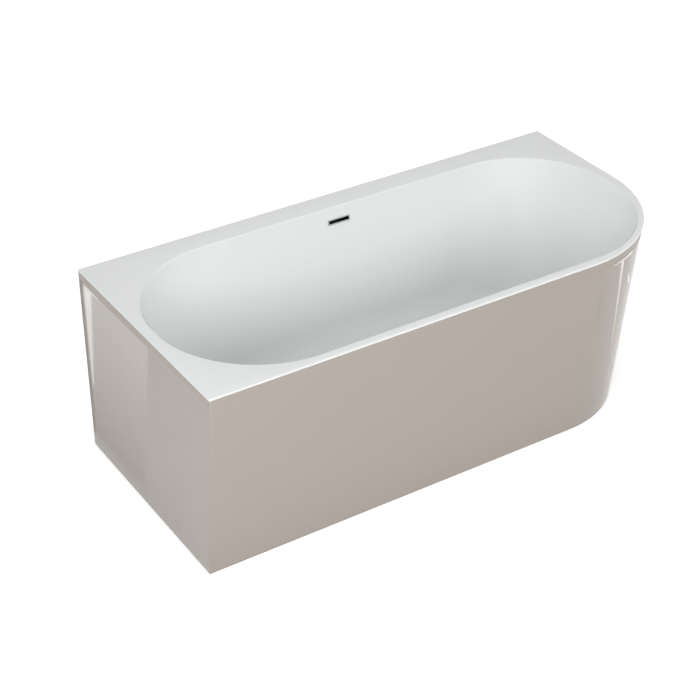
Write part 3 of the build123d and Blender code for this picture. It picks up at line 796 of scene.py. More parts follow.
MOUTH = Plan(-0.770, 0.766, -0.348, 0.298, (0.312, 0.282, 0.312, 0.312))
FLOOR = Plan(-0.560, 0.556, -0.278, 0.228, (0.235, 0.215, 0.235, 0.235))


@dataclass(frozen=True)
class Wall:
    """A wall ruled between an upper and a lower outline."""

    upper: Plan
    lower: Plan
    top: float
    bottom: float

    def spot(self, station: Station, z: float) -> Vector:
        """Finds a station's point on the wall at a height."""
        share = (z - self.bottom) / (self.top - self.bottom)
        point = self.lower.spot(station).lerp(self.upper.spot(station), share)
        return Vector((point.x, point.y, z))

    def tilt(self, station: Station) -> float:
        """Measures how far the wall leans out at a station, as an angle from upright."""
        run = self.upper.reach(station) - self.lower.reach(station)
        return math.atan(run / (self.top - self.bottom))

    def contact(self, station: Station, level: float, radius: float, side: int) -> float:
        """Finds the height at which a ball that rolls on the wall and on a level face meets the wall.

        Args:
            station: The place on the outline.
            level: The level face's height.
            radius: The ball's radius.
            side: 1 for a ball in the basin, -1 for one in the material.

        Returns:
            The height of the contact.
        """
        return level + side * radius * (1 - math.sin(self.tilt(station)))

    def rolled(self, station: Station, level: float, radius: float, side: int, share: float) -> Vector:
        """Finds a point of the round between the wall and a level face.

        Args:
            station: The place on the outline.
            level: The level face's height.
            radius: The round's radius.
            side: 1 for a hollow round, -1 for an outward one.
            share: 0 at the level face and 1 at the wall.

        Returns:
            The point.
        """
        tilt = self.tilt(station)
        outwards = station.normal * math.cos(tilt) - Vector((0, 0, math.sin(tilt)))
        centre = self.spot(station, self.contact(station, level, radius, side)) - side * radius * outwards
        turn = share * (math.pi / 2 - tilt)
        ray = station.normal * math.sin(turn) - Vector((0, 0, math.cos(turn)))
        return centre + side * radius * ray


def drain_ring(places: Sequence[Vector], radius: float, z: float) -> Ring:
    """Makes a circle round the drain whose points face those of another ring.

    Args:
        places: The ring to face.
        radius: The circle's radius.
        z: Its height.

    Returns:
        The circle's points.
    """
    centre = Vector((*DRAIN, 0.0))
    rays = [(Vector((p.x, p.y, 0)) - centre).normalized() for p in places]
    return [centre + ray * radius + Vector((0, 0, z)) for ray in rays]


@dataclass(frozen=True)
class SlotPlace:
    """Where the overflow's slot lies in the sloping back wall of the basin."""

    height: float = 0.555

    def frame(self) -> Matrix:
        """Makes the matrix from the slot, with X along it, Y up the wall and Z out of it."""
        slope = (MOUTH.back - FLOOR.back) / (HEIGHT - FLOOR_Z)
        lean = math.atan(slope)
        depth = MOUTH.back - (HEIGHT - self.height) * slope
        return Matrix.Translation((0, depth, self.height)) @ Matrix.Rotation(math.pi / 2 - lean, 4, "X")


def sized(width: float, height: float, radius: float) -> Plan:
    """Makes a rectangle round the origin with round corners."""
    return Plan(-width / 2, width / 2, -height / 2, height / 2, (radius,) * 4)


def stacked(shape: bmesh.types.BMesh, plans: Sequence[tuple[Plan, float]], place: Matrix,
            arc_steps: int = 5, closed: bool = True) -> None:
    """Joins outlines at several heights into a skin.

    Args:
        shape: The shape to add to.
        plans: The outlines and their heights.
        place: Puts the skin in its place.
        arc_steps: Steps in each corner.
        closed: Whether the last outline is joined to the first; otherwise both are filled.
    """
    around = stations(arc_steps, (1, 1, 1, 1))
    rows = [add_ring(shape, [place @ (plan.spot(s) + Vector((0, 0, z))) for s in around])
            for plan, z in plans]
    for first, second in zip(rows, rows[1:]):
        bridge(shape, first, second)
    if closed:
        bridge(shape, rows[-1], rows[0])
    else:
        shape.faces.new(rows[0])
        shape.faces.new(rows[-1])


@dataclass
class BathShell:
    """The white deck and basin, in one sheet."""

    finishes: Finishes
    thickness: float = 0.006
    edge_radius: float = 0.002
    cove: float = 0.090
    lip: float = 0.005
    drain_radius: float = 0.026
    slot: SlotPlace = SlotPlace()
    slot_size: Spot = (0.0724, 0.0144)
    slot_depth: float = 0.030
    arc_steps: int = 40
    side_steps: tuple[int, int, int, int] = (8, 60, 4, 60)
    edge_steps: int = 5
    lip_steps: int = 8
    wall_steps: int = 26
    cove_steps: int = 22
    floor_steps: int = 8
    back_wall_steps: int = 10
    back_cove_steps: int = 14
    back_floor_steps: int = 4

    def __post_init__(self) -> None:
        """Works out the walls and the stations."""
        self.inside = Wall(MOUTH, FLOOR, HEIGHT, FLOOR_Z)
        self.outside = Wall(MOUTH.grown(self.thickness), FLOOR.grown(self.thickness), HEIGHT, FLOOR_Z)
        self.around = stations(self.arc_steps, self.side_steps)

    def edge(self, inset: float, z: float) -> Ring:
        """Makes a ring along the deck's outer edge.

        Args:
            inset: How far inside the full outline it lies.
            z: Its height.

        Returns:
            The ring's points.
        """
        half_x, half_y, r = LENGTH / 2, WIDTH / 2, self.edge_radius
        plan = Plan(-half_x, half_x, -half_y, half_y, (CORNER_RADIUS, r, r, r)).grown(-inset)
        return [plan.spot(s) + Vector((0, 0, z)) for s in self.around]

    def water_side(self) -> list[Ring]:
        """Makes the rings from the deck's outer edge over the lip and down to the drain."""
        rings = [self.edge(0.0, HEIGHT - self.thickness)]
        for i in range(self.edge_steps + 1):
            turn = math.pi / 2 * i / self.edge_steps
            inset = self.edge_radius * (1 - math.cos(turn))
            rings.append(self.edge(inset, HEIGHT - self.edge_radius * (1 - math.sin(turn))))
        for i in range(self.lip_steps + 1):
            rings.append([self.inside.rolled(s, HEIGHT, self.lip, -1, i / self.lip_steps)
                          for s in self.around])
        for i in range(1, self.wall_steps):
            rings.append([self.between(s, i / self.wall_steps) for s in self.around])
        for i in range(self.cove_steps + 1):
            rings.append([self.inside.rolled(s, FLOOR_Z, self.cove, 1, 1 - i / self.cove_steps)
                          for s in self.around])
        return rings + self.floor_rings(rings[-1], FLOOR_Z, self.floor_steps)

    def between(self, station: Station, share: float) -> Vector:
        """Finds a point on the straight part of the wall, from the lip at 0 to the cove at 1."""
        high = self.inside.contact(station, HEIGHT, self.lip, -1)
        low = self.inside.contact(station, FLOOR_Z, self.cove, 1)
        return self.inside.spot(station, high + (low - high) * share)

    def floor_rings(self, edge: Ring, z: float, steps: int) -> list[Ring]:
        """Makes rings across the floor, from the cove's foot in to the drain.

        Args:
            edge: The ring at the cove's foot.
            z: The floor's height.
            steps: How many rings to make.

        Returns:
            The rings.
        """
        hole = drain_ring(edge, self.drain_radius, z)
        return [[a.lerp(b, i / steps) for a, b in zip(edge, hole)] for i in range(1, steps + 1)]

    def rough_side(self) -> list[Ring]:
        """Makes the rings from the drain under the floor and up to the underside of the deck."""
        under_floor, under_deck = FLOOR_Z - self.thickness, HEIGHT - self.thickness
        cove = self.cove + self.thickness
        foot = [self.outside.rolled(s, under_floor, cove, 1, 0.0) for s in self.around]
        rings = list(reversed(self.floor_rings(foot, under_floor, self.back_floor_steps)))
        for i in range(self.back_cove_steps + 1):
            rings.append([self.outside.rolled(s, under_floor, cove, 1, i / self.back_cove_steps)
                          for s in self.around])
        for i in range(1, self.back_wall_steps + 1):
            ring = []
            for s in self.around:
                low = self.outside.contact(s, under_floor, cove, 1)
                ring.append(self.outside.spot(s, low + (under_deck - low) * i / self.back_wall_steps))
            rings.append(ring)
        return rings

    def build(self) -> bpy.types.Object:
        """Builds the shell, cuts the overflow's slot in it and dresses it.

        Returns:
            The shell.
        """
        shape = bmesh.new()
        water = [add_ring(shape, ring) for ring in self.water_side()]
        rough = [add_ring(shape, ring) for ring in self.rough_side()]
        for first, second in zip(water, water[1:]):
            bridge(shape, first, second)
        bridge(shape, water[-1], rough[0])
        for first, second in zip(rough, rough[1:]):
            bridge(shape, first, second, material=1)
        bridge(shape, rough[-1], water[0], material=1)
        shell = add_piece("shell", shape, BATH)
        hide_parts("bath_shell")
        self.finishes.dress(shell, Slot.WHITE)
        shell.data.materials.append(self.finishes.back)
        hole = sized(*self.slot_size, self.edge_radius)
        cutter = bmesh.new()
        stacked(cutter, [(hole, -self.slot_depth), (hole, self.slot_depth)], self.slot.frame(), closed=False)
        carve(shell, cutter)
        LOG.info("shell: %d faces", len(shell.data.polygons))
        return shell


@dataclass
class Casing:
    """The coloured surround: left end, front, rounded corner and right end, open at the wall."""

    finishes: Finishes
    lean: float = 0.050
    reveal: float = 0.0005
    thickness: float = 0.005
    foot: float = 0.004
    top: float = 0.592
    fold_radius: float = 0.0015
    edge_round: float = 0.001
    arc_steps: int = 64
    side_steps: int = 40
    levels: int = 24
    round_steps: int = 4
    fold_steps: int = 6

    def plan(self, z: float, inset: float) -> Plan:
        """Finds the casing's outline at a height.

        Args:
            z: The height.
            inset: How far inside the outer face.

        Returns:
            The outline, whose back corners are square.
        """
        lean = self.lean * (1 - z / HEIGHT)
        inside = self.reveal + inset
        half_x, half_y = LENGTH / 2, WIDTH / 2
        radii = (CORNER_RADIUS - inside - lean, 0.0, 0.0, self.fold_radius)
        return Plan(-half_x + inside, half_x - inside - lean, -half_y + inside + lean,
                    half_y - self.reveal, radii)

    def face(self, station: Station, z: float) -> tuple[Vector, Vector]:
        """Finds a point of the outer face and the direction that it faces.

        Args:
            station: The place on the outline.
            z: The height.

        Returns:
            The point and the outward direction.
        """
        point = self.plan(z, 0.0).spot(station) + Vector((0, 0, z))
        drop = 0.0 if station.corner is Corner.BACK_LEFT else self.lean / HEIGHT
        return point, (station.normal - Vector((0, 0, drop))).normalized()

    def path(self) -> list[Station]:
        """Walks from the back left end round the front to the back right end."""
        back_left, front_left, front_right, back_right = (
            Corner.BACK_LEFT, Corner.FRONT_LEFT, Corner.FRONT_RIGHT, Corner.BACK_RIGHT)
        sides = range(1, self.side_steps)
        left = [Station(back_left, math.pi)]
        left += [Station(back_left, math.pi, i / self.side_steps) for i in sides]
        fold = [Station(front_left, math.pi * (1 + i / self.fold_steps / 2))
                for i in range(self.fold_steps + 1)]
        front = [Station(front_left, math.pi * 3 / 2, i / self.side_steps) for i in sides]
        bend = [Station(front_right, -math.pi / 2 * (1 - i / self.arc_steps))
                for i in range(self.arc_steps + 1)]
        right = [Station(front_right, 0.0, i / self.side_steps) for i in sides]
        return left + fold + front + bend + right + [Station(back_right, 0.0)]

    def section(self) -> list[tuple[float, float]]:
        """Lists the sheet's section as (inset, height), outer face first, with rounded outer edges."""
        r, steps, levels = self.edge_round, self.round_steps, self.levels
        low, high = self.foot + r, self.top - r
        points = [(0.0, low + (high - low) * i / levels) for i in range(levels + 1)]
        for i in range(1, steps + 1):
            turn = math.pi / 2 * i / steps
            points.append((r * (1 - math.cos(turn)), high + r * math.sin(turn)))
        points += [(self.thickness, self.top), (self.thickness, self.foot)]
        for i in range(steps):
            turn = math.pi / 2 * (1 - i / steps)
            points.append((r * (1 - math.cos(turn)), low - r * math.sin(turn)))
        return points

    def build(self) -> bpy.types.Object:
        """Builds and dresses the casing.

        Returns:
            The casing.
        """
        shape = bmesh.new()
        path, section = self.path(), self.section()
        rows = []
        for inset, z in section:
            plan = self.plan(z, inset)
            rows.append(add_ring(shape, [plan.spot(s) + Vector((0, 0, z)) for s in path]))
        rough = self.levels + self.round_steps + 1
        for i, row in enumerate(rows):
            bridge(shape, row, rows[(i + 1) % len(rows)], closed=False, material=int(i == rough))
        for end in (0, -1):
            shape.faces.new([row[end] for row in rows])
        casing = add_piece("casing_panel", shape, BATH)
        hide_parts("casing")
        self.finishes.dress(casing, Slot.TAUPE)
        casing.data.materials.append(self.finishes.back)
        LOG.info("casing: %d faces", len(casing.data.polygons))
        return casing


@dataclass
class Overflow:
    """The polished slot frame, with the sleeve that lines the hole."""

    finishes: Finishes
    place: SlotPlace = SlotPlace()
    plate: Spot = (0.076, 0.018)
    plate_corner: float = 0.002
    proud: float = 0.002
    slot: Spot = (0.068, 0.010)
    slot_corner: float = 0.0012
    wall: float = 0.0012
    sleeve_length: float = 0.020
    edge_round: float = 0.0005
    round_steps: int = 4

    def rounds(self) -> list[Spot]:
        """Lists how far in and how far down each point of an edge's round lies, from its side."""
        turns = [math.pi / 2 * i / self.round_steps for i in range(self.round_steps + 1)]
        return [(self.edge_round * (1 - math.cos(t)), self.edge_round * (1 - math.sin(t))) for t in turns]

    def build(self) -> bpy.types.Object:
        """Builds and dresses the frame."""
        plate, slot = sized(*self.plate, self.plate_corner), sized(*self.slot, self.slot_corner)
        lining = slot.grown(self.wall)
        plans = [(plate, 0.0)]
        plans += [(plate.grown(-inwards), self.proud - down) for inwards, down in self.rounds()]
        plans += [(slot.grown(inwards), self.proud - down) for inwards, down in reversed(self.rounds())]
        plans += [(slot, -self.sleeve_length), (lining, -self.sleeve_length), (lining, 0.0)]
        shape = bmesh.new()
        stacked(shape, plans, self.place.frame())
        cover = add_piece("overflow_slot_frame", shape, BATH)
        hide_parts("overflow_cover")
        self.finishes.dress(cover, Slot.CHROME)
        LOG.info("overflow slot frame: %d faces", len(cover.data.polygons))
        return cover


@dataclass
class Waste:
    """The ring and strainer in the basin floor, and the push-down plug's cap."""

    finishes: Finishes
    gasket: float = 0.0015
    ring_radius: float = 0.035
    ring_thickness: float = 0.0025
    sleeve_radius: float = 0.025
    bore: float = 0.021
    depth: float = 0.020
    strainer_thickness: float = 0.004
    hub: float = 0.007
    holes: int = 8
    hole_ring: float = 0.014
    hole_radius: float = 0.0042
    cap_radius: float = 0.030
    cap_thickness: float = 0.005
    cap_gap: float = 0.0003
    cap_shares: tuple[Spot, ...] = ((0, 0), (0.93, 0), (1, 0.3), (0.985, 0.62), (0.90, 0.89), (0.55, 1),
                                    (0, 1))
    cap_ease: float = 0.0027
    cap_ease_steps: int = 6
    ease: float = 0.0009
    hole_steps: int = 32

    def __post_init__(self) -> None:
        """Works out where the waste stands."""
        self.place = Matrix.Translation((*DRAIN, 0.0))
        self.low = FLOOR_Z - self.depth
        self.top = FLOOR_Z + self.gasket + self.ring_thickness

    def add_ring_piece(self) -> None:
        """Builds the polished ring and its sleeve."""
        rim = FLOOR_Z + self.gasket
        outline = eased([(self.bore, self.low), (self.sleeve_radius, self.low), (self.sleeve_radius, rim),
                         (self.ring_radius, rim), (self.ring_radius, self.top), (self.bore, self.top)],
                        self.ease)
        shape = bmesh.new()
        turned(shape, outline, self.place, FINE_TURN)
        ring = add_piece("waste_ring", shape, BATH)
        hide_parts("waste_flange")
        self.finishes.dress(ring, Slot.CHROME)

    def add_strainer(self) -> None:
        """Builds the strainer with its round holes."""
        high = self.low + self.strainer_thickness
        outline = eased([(self.hub, self.low), (self.bore, self.low), (self.bore, high), (self.hub, high)],
                        self.ease / 2)
        shape = bmesh.new()
        turned(shape, outline, self.place, FINE_TURN)
        strainer = add_piece("waste_strainer", shape, BATH)
        cutter = bmesh.new()
        past = self.strainer_thickness
        for i in range(self.holes):
            turn = Matrix.Rotation(math.tau * i / self.holes, 4, "Z")
            spot = self.place @ turn @ Matrix.Translation((self.hole_ring, 0, 0))
            turned(cutter, [(0, self.low - past), (self.hole_radius, self.low - past),
                            (self.hole_radius, high + past), (0, high + past)], spot, self.hole_steps)
        carve(strainer, cutter)
        self.finishes.dress(strainer, Slot.CHROME)

    def add_cap(self) -> None:
        """Builds the cap, slightly domed, with a rolled rim."""
        low = self.top + self.cap_gap
        corners = [(self.cap_radius * r, low + self.cap_thickness * z) for r, z in self.cap_shares]
        outline = eased(corners, self.cap_ease, self.cap_ease_steps)
        shape = bmesh.new()
        turned(shape, outline, self.place, FINE_TURN)
        cap = add_piece("plug_cap_dome", shape, PLUG)
        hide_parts("plug_cap")
        self.finishes.dress(cap, Slot.CHROME)

    def build(self) -> None:
        """Builds the waste's polished pieces."""
        self.add_ring_piece()
        self.add_strainer()
        self.add_cap()
        LOG.info("waste ring, strainer and plug cap built")


@dataclass
class Frame:
    """The welded frame under the bath, from rolled square tube."""

    finishes: Finishes
    rails: tuple[str, ...] = ("frame_rail_front", "frame_rail_back_left", "frame_rail_back_right")
    bars: tuple[str, ...] = ("crossbar_left", "crossbar_middle_left", "crossbar_middle_right",
                             "crossbar_right")
    uprights: tuple[str, ...] = ("upright_left", "upright_right")
    wall: float = 0.002
    corner: float = 0.0035
    bead_radius: float = 0.0022
    bead_step: float = 0.0028
    bead_ripple: float = 0.22
    bead_rings: int = 4
    bead_turn: int = 14

    def add_tube(self, node: str) -> None:
        """Builds one tube in place of its CAD node."""
        low, high = span(node)
        size = high - low
        run = max(range(3), key=lambda axis: size[axis])
        unit = Matrix.Identity(3)
        turn = Matrix((unit[(run + 1) % 3], unit[(run + 2) % 3], unit[run])).transposed().to_4x4()
        place = Matrix.Translation((low + high) / 2) @ turn
        outer = sized(size[(run + 1) % 3], size[(run + 2) % 3], self.corner)
        inner = outer.grown(-self.wall)
        half = size[run] / 2
        shape = bmesh.new()
        stacked(shape, [(outer, -half), (outer, half), (inner, half), (inner, -half)], place)
        tube = add_piece(f"{node}_tube", shape, BATH)
        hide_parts(node)
        self.finishes.dress(tube, Slot.STEEL)

    def add_bead(self, shape: bmesh.types.BMesh, start: Vector, length: float) -> None:
        """Adds a rippled weld bead that runs along Y.

        Args:
            shape: The shape to add to.
            start: Its front end.
            length: Its length.
        """
        count = round(length / self.bead_step) * self.bead_rings
        outline: list[Spot] = [(0, 0)]
        for i in range(count + 1):
            swell = 1 - self.bead_ripple * (1 - abs(math.sin(math.pi * i / self.bead_rings)))
            outline.append((self.bead_radius * swell, length * i / count))
        outline.append((0, length))
        place = Matrix.Translation(start) @ Matrix.Rotation(-math.pi / 2, 4, "X")
        turned(shape, outline, place, self.bead_turn)

    def add_welds(self) -> None:
        """Adds a bead on both sides of each place where a rail lies on a crossbar."""
        shape = bmesh.new()
        for rail in self.rails:
            rail_low, rail_high = span(rail)
            for bar in self.bars:
                bar_low, bar_high = span(bar)
                for x in (bar_low.x, bar_high.x):
                    if rail_low.x < x < rail_high.x:
                        self.add_bead(shape, Vector((x, rail_low.y, rail_low.z)), rail_high.y - rail_low.y)
        welds = add_piece("frame_weld_beads", shape, BATH)
        self.finishes.dress(welds, Slot.STEEL)

    def build(self) -> None:
        """Builds the frame."""
        for node in self.rails + self.bars + self.uprights:
            self.add_tube(node)
        self.add_welds()
        LOG.info("frame: %d tubes", len(self.rails + self.bars + self.uprights))


@dataclass
class Feet:
    """The six levelling feet: ribbed pads, threaded studs and their nuts."""

    finishes: Finishes
    radius: float = 0.005
    pitch: float = 0.0015
    thread_depth: float = 0.0009
    rings_per_turn: int = 6
    thread_turn: int = 24
    across: float = 0.017
    hex_turn: int = 72
    hex_face: float = 0.97
    hex_low: float = 0.0163
    hex_height: float = 0.007
    bevel: float = 0.0009
    pad_base: float = 0.004
    pad_ledge: float = 0.003
    pad_neck: float = 0.013
    socket: float = 0.0053
    socket_floor: float = 0.0057
    pad_turn: int = 144
    ribs: int = 18
    rib_height: float = 0.0011
    rib_start: float = 0.02
    rib_end: float = 0.88
    rib_limit: float = 0.9
    rib_steps: int = 10
    ease: float = 0.0007
    shank_turn: int = 32

    def add_hexagon(self, shape: bmesh.types.BMesh, place: Matrix, low: float, high: float,
                    bore: float) -> None:
        """Adds a hexagon with chamfered corners and a bore.

        Args:
            shape: The shape to add to.
            place: Where the foot stands.
            low: The bottom's height.
            high: The top's height.
            bore: The bore's radius.
        """
        corner = self.across / math.sqrt(3)
        inside = self.across / 2 * self.hex_face
        outline = [(bore, low), (inside, low), (corner, low + self.bevel), (corner, high - self.bevel),
                   (inside, high), (bore, high)]
        turned(shape, outline, place, self.hex_turn, hexagonal(self.across))

    def add_stud(self, name: str, place: Matrix, low: float, high: float) -> None:
        """Builds one threaded stud with its hexagon.

        Args:
            name: The foot's name.
            place: Where it stands.
            low: The stud's lower end.
            high: Its upper end.
        """
        shape = bmesh.new()
        start = self.hex_low + self.hex_height
        count = round((high - self.bevel - start) / self.pitch * self.rings_per_turn)
        heights = [start + (high - self.bevel - start) * i / count for i in range(count + 1)]
        tip = self.radius - self.bevel
        turned(shape, [(0, start)] + [(self.radius, z) for z in heights] + [(tip, high), (0, high)],
               place, self.thread_turn, threaded(self.radius, self.pitch, self.thread_depth))
        shank = [(0, low), (self.radius, low), (self.radius, self.hex_low), (0, self.hex_low)]
        turned(shape, eased(shank, self.ease), place, self.shank_turn)
        self.add_hexagon(shape, place, self.hex_low, start, tip)
        stud = add_piece(f"foot_stud_thread_{name}", shape, f"stud_{name}")
        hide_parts(f"foot_stud_{name}")
        self.finishes.dress(stud, Slot.ZINC)

    def add_pad(self, name: str, place: Matrix, radius: float, high: float) -> None:
        """Builds one ribbed pad.

        Args:
            name: The foot's name.
            place: Where it stands.
            radius: The pad's radius.
            high: Its height.
        """
        wide = radius - self.pad_ledge

        def ribbed(angle: float, height: float) -> float:
            """Measures the ribbed cone at an angle and a height."""
            share = (height - self.pad_base) / (high - self.pad_base)
            if share <= 0 or share > self.rib_limit:
                return radius
            cone = wide + (self.pad_neck - wide) * share
            return cone + self.rib_height * ((1 + math.cos(self.ribs * angle)) / 2) ** 2

        step = (self.rib_end - self.rib_start) / self.rib_steps
        levels = [self.rib_start + step * i for i in range(self.rib_steps + 1)]
        reach = self.rib_height + wide
        slope = [(reach, self.pad_base + (high - self.pad_base) * level) for level in levels]
        outline = eased([(0, 0), (radius, 0), (radius, self.pad_base), (reach, self.pad_base)], self.ease)
        outline += slope + [(self.pad_neck, high - self.ease), (self.pad_neck - self.ease, high),
                            (self.socket, high), (self.socket, self.socket_floor), (0, self.socket_floor)]
        shape = bmesh.new()
        turned(shape, outline, place, self.pad_turn, ribbed)
        pad = add_piece(f"foot_pad_ribbed_{name}", shape, f"foot_{name}")
        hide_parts(f"foot_pad_{name}")
        self.finishes.dress(pad, Slot.BLACK)

    def build(self) -> None:
        """Builds the feet and their nuts."""
        places = {}
        for name in FEET:
            low, high = span(f"foot_stud_{name}")
            middle = (low + high) / 2
            places[name] = Matrix.Translation((middle.x, middle.y, 0.0))
            self.add_stud(name, places[name], low.z, high.z)
            pad_low, pad_high = span(f"foot_pad_{name}")
            self.add_pad(name, places[name], (pad_high.x - pad_low.x) / 2, pad_high.z)
        for node in ("foot_weld_nuts", "foot_lock_nuts"):
            low, high = span(node)
            shape = bmesh.new()
            for place in places.values():
                self.add_hexagon(shape, place, low.z, high.z, self.radius)
            nuts = add_piece(f"{node}_hex", shape, BATH)
            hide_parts(node)
            self.finishes.dress(nuts, Slot.ZINC)
        LOG.info("feet: %d", len(FEET))


@dataclass
class Hardware:
    """The CAD pieces whose shape is right, which only get their finishes."""

    finishes: Finishes

    def build(self) -> None:
        """Dresses every CAD node that is still shown, by the record's slot for it."""
        slots = {entry["node"]: entry["material_slot"] for entry in frame["record"]["subparts"]}
        for name, piece in sorted(frame["nodes"].items()):
            if piece.hide_render:
                continue
            self.finishes.dress(piece, Slot(slots[name]))
            LOG.info("%s: dressed", name)


class Side(Enum):
    """The glossy faces of the casing that mirror cards."""

    END = "left end"
    BEND = "rounded corner"


@dataclass(frozen=True)
class Glint:
    """A card on the floor that shows only as a reflection in the casing.

    The corners are given where the camera sees them in the casing. On the left end the first number is
    the distance from the back edge in metres, and on the rounded corner it is the angle from the front
    in degrees. The second is the height in metres.
    """

    name: str
    side: Side
    corners: tuple[Spot, Spot, Spot, Spot]
    strengths: Spot
    axis: int = 0
    steps: int = 8

    def spot(self, across: float, z: float, casing: Casing, eye: Vector, level: float) -> Vector:
        """Finds where on the floor the camera looks by way of the casing.

        Args:
            across: The first number of a place on the casing.
            z: The second.
            casing: The casing.
            eye: The camera's place.
            level: The card's height over the floor.

        Returns:
            The place on the card.
        """
        if self.side is Side.END:
            station = Station(Corner.BACK_LEFT, math.pi, across / WIDTH)
        else:
            station = Station(Corner.FRONT_RIGHT, math.radians(across) - math.pi / 2)
        point, normal = casing.face(station, z)
        ray = (point - eye).normalized()
        ray -= 2 * ray.dot(normal) * normal
        return point + ray * ((level - point.z) / ray.z)

    def build(self, casing: Casing, eye: Vector, level: float) -> None:
        """Builds the card.

        Args:
            casing: The casing.
            eye: The camera's place.
            level: The card's height over the floor.
        """
        first, second, third, fourth = (Vector(corner) for corner in self.corners)
        shape = bmesh.new()
        rows = []
        for i in range(self.steps + 1):
            start, end = first.lerp(fourth, i / self.steps), second.lerp(third, i / self.steps)
            marks = [start.lerp(end, j / self.steps) for j in range(self.steps + 1)]
            rows.append(add_ring(shape, [self.spot(m.x, m.y, casing, eye, level) for m in marks]))
        for row, after in zip(rows, rows[1:]):
            bridge(shape, row, after, closed=False)
        mesh = bpy.data.meshes.new(self.name)
        shape.to_mesh(mesh)
        shape.free()
        card = bpy.data.objects.new(self.name, mesh)
        bpy.context.scene.collection.objects.link(card)
        bench = Bench(self.name)
        along = bench.add("ShaderNodeTexCoord").outputs["Generated"]
        share = bench.add("ShaderNodeSeparateXYZ", Vector=along).outputs[self.axis]
        bench.set(Base_Color=(0, 0, 0, 1), Specular_IOR_Level=0.0)
        bench.glow(bench.spread(share, *self.strengths))
        mesh.materials.append(bench.material)
        card.visible_camera = card.visible_diffuse = card.visible_shadow = False
        card.visible_transmission = card.visible_volume_scatter = False


# Strengths run from the card's low end to its high end along X, or along Y where the last value is 1.
GLINTS = (
    Glint("end_glow", Side.END, ((0.024, 0.578), (0.425, 0.592), (0.350, 0.050), (0.024, 0.050)),
          (1.75, 0.85)),
    Glint("end_arm", Side.END, ((0.025, 0.578), (0.075, 0.556), (0.037, 0.240), (0.026, 0.220)), (3.4, 2.3)),
    Glint("end_top_arm", Side.END, ((0.025, 0.578), (0.135, 0.570), (0.130, 0.566), (0.025, 0.550)),
          (2.9, 2.9)),
    Glint("end_shade", Side.END, ((-0.010, 0.600), (0.390, 0.600), (0.390, 0.580), (-0.010, 0.578)),
          (1.0, 0.2), 1),
    Glint("end_edge_shade", Side.END, ((-0.010, 0.600), (0.024, 0.600), (0.022, 0.060), (-0.010, 0.040)),
          (0.3, 0.5)),
    Glint("bend_stem", Side.BEND, ((17.6, 0.560), (19.8, 0.560), (24.4, 0.240), (23.6, 0.240)), (1.6, 3.4)),
    Glint("bend_arm", Side.BEND, ((11.0, 0.572), (28.0, 0.572), (27.0, 0.560), (11.5, 0.560)), (3.2, 3.2)),
    Glint("bend_sliver", Side.BEND, ((28.0, 0.480), (29.4, 0.480), (33.0, 0.440), (32.0, 0.440)),
          (2.6, 2.6)),
    Glint("bend_shade", Side.BEND, ((-10.0, 0.600), (60.0, 0.600), (60.0, 0.576), (-10.0, 0.576)),
          (0.3, 0.3)),
    Glint("bend_stripe", Side.BEND, ((6.0, 0.500), (8.0, 0.500), (6.0, 0.370), (4.5, 0.370)), (0.75, 0.75)),
)


@dataclass(frozen=True)
class Lamp:
    """A soft box that stands round the bath and faces it."""

    name: str
    turn: float
    rise: float
    power: float
    distance: float = 4.0
    target: Triple = (0.0, 0.0, 0.4)
    size: Spot = (2.4, 1.6)

    def build(self) -> None:
        """Adds the lamp, which mirrors don't show."""
        turn, rise = math.radians(self.turn), math.radians(self.rise)
        away = Vector((math.sin(turn) * math.cos(rise), -math.cos(turn) * math.cos(rise), math.sin(rise)))
        data = bpy.data.lights.new(self.name, "AREA")
        data.shape = "RECTANGLE"
        data.size, data.size_y = self.size
        data.energy = self.power
        lamp = bpy.data.objects.new(self.name, data)
        lamp.location = Vector(self.target) + away * self.distance
        lamp.rotation_euler = away.to_track_quat("Z", "Y").to_euler()
        lamp.visible_glossy = False
        bpy.context.scene.collection.objects.link(lamp)


LAMPS = (
    Lamp("front_box", 0, 20, 34.0),
    Lamp("left_front_box", -45, 25, 76.0),
    Lamp("right_front_box", 45, 25, 43.0),
    Lamp("left_box", -90, 12, 18.5),
    Lamp("back_box", 180, 40, 35.0),
    Lamp("top_box", 0, 88, 43.0),
)


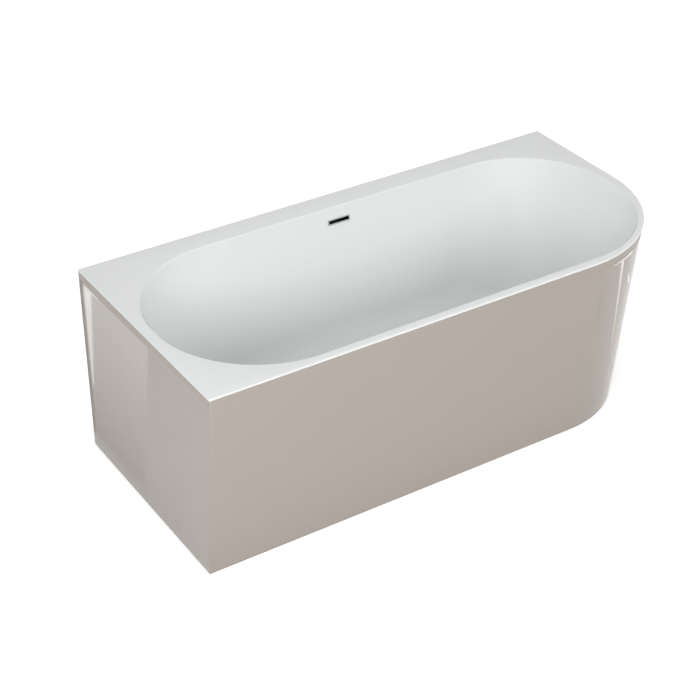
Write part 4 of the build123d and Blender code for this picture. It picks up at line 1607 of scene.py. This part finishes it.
@dataclass
class Studio:
    """A pale floor, a white room, soft lamps, reflection cards and the camera."""

    casing: Casing
    camera_place: Triple = (-2.4118, -3.5275, 3.0535)
    pitch: float = 56.791
    yaw: float = -32.697
    lens: float = 89.82
    sensor: float = 36.0
    room_light: float = 0.12
    floor_colour: Colour = (0.80, 0.80, 0.80)
    floor_glow: float = 0.56
    glow_start: float = 1.6
    glow_end: float = 4.5
    floor_size: float = 30.0
    card_step: float = 0.0008

    def add_camera(self) -> None:
        """Adds the camera where the photographer stood."""
        data = bpy.data.cameras.new("camera")
        data.lens, data.sensor_width = self.lens, self.sensor
        camera = bpy.data.objects.new("camera", data)
        camera.location = self.camera_place
        camera.rotation_euler = (math.radians(self.pitch), 0, math.radians(self.yaw))
        bpy.context.scene.collection.objects.link(camera)
        bpy.context.scene.camera = camera

    def add_room(self) -> None:
        """Makes the room light, which the camera and mirrors see as plain white."""
        world = bpy.data.worlds.new("room")
        world.use_nodes = True
        bpy.context.scene.world = world
        wiring = Wiring(world.node_tree)
        background = wiring.tree.nodes["Background"].inputs
        wiring.feed(background["Color"], (1, 1, 1, 1))
        wiring.feed(background["Strength"], wiring.spread(wiring.seen(), self.room_light, 1.0))

    def add_floor(self) -> None:
        """Adds the floor, which keeps the bath's shadow."""
        shape = bmesh.new()
        bmesh.ops.create_grid(shape, x_segments=1, y_segments=1, size=self.floor_size / 2)
        mesh = bpy.data.meshes.new("studio_floor")
        shape.to_mesh(mesh)
        shape.free()
        floor = bpy.data.objects.new("studio_floor", mesh)
        bpy.context.scene.collection.objects.link(floor)
        bench = Bench("studio_paper")
        bench.set(Base_Color=(*self.floor_colour, 1), Roughness=1.0, Specular_IOR_Level=0.0)
        away = bench.add("ShaderNodeVectorMath", operation="LENGTH", Vector=bench.place).outputs["Value"]
        glow = bench.spread(away, self.floor_glow, 1.0, self.glow_start, self.glow_end)
        bench.glow(bench.spread(bench.seen(), 0.0, glow))
        mesh.materials.append(bench.material)

    def build(self) -> None:
        """Sets the whole studio up."""
        bpy.context.scene.view_settings.view_transform = "Standard"
        self.add_camera()
        self.add_room()
        self.add_floor()
        for lamp in LAMPS:
            lamp.build()
        for i, glint in enumerate(GLINTS):
            glint.build(self.casing, Vector(self.camera_place), self.card_step * (i + 1))


def main() -> None:
    """Builds the bath and its studio."""
    logging.basicConfig(level=logging.INFO, format="%(name)s %(message)s")
    finishes = Finishes()
    BathShell(finishes).build()
    casing = Casing(finishes)
    casing.build()
    Overflow(finishes).build()
    Waste(finishes).build()
    Frame(finishes).build()
    Feet(finishes).build()
    Hardware(finishes).build()
    Studio(casing).build()


if __name__ == "__main__":
    main()
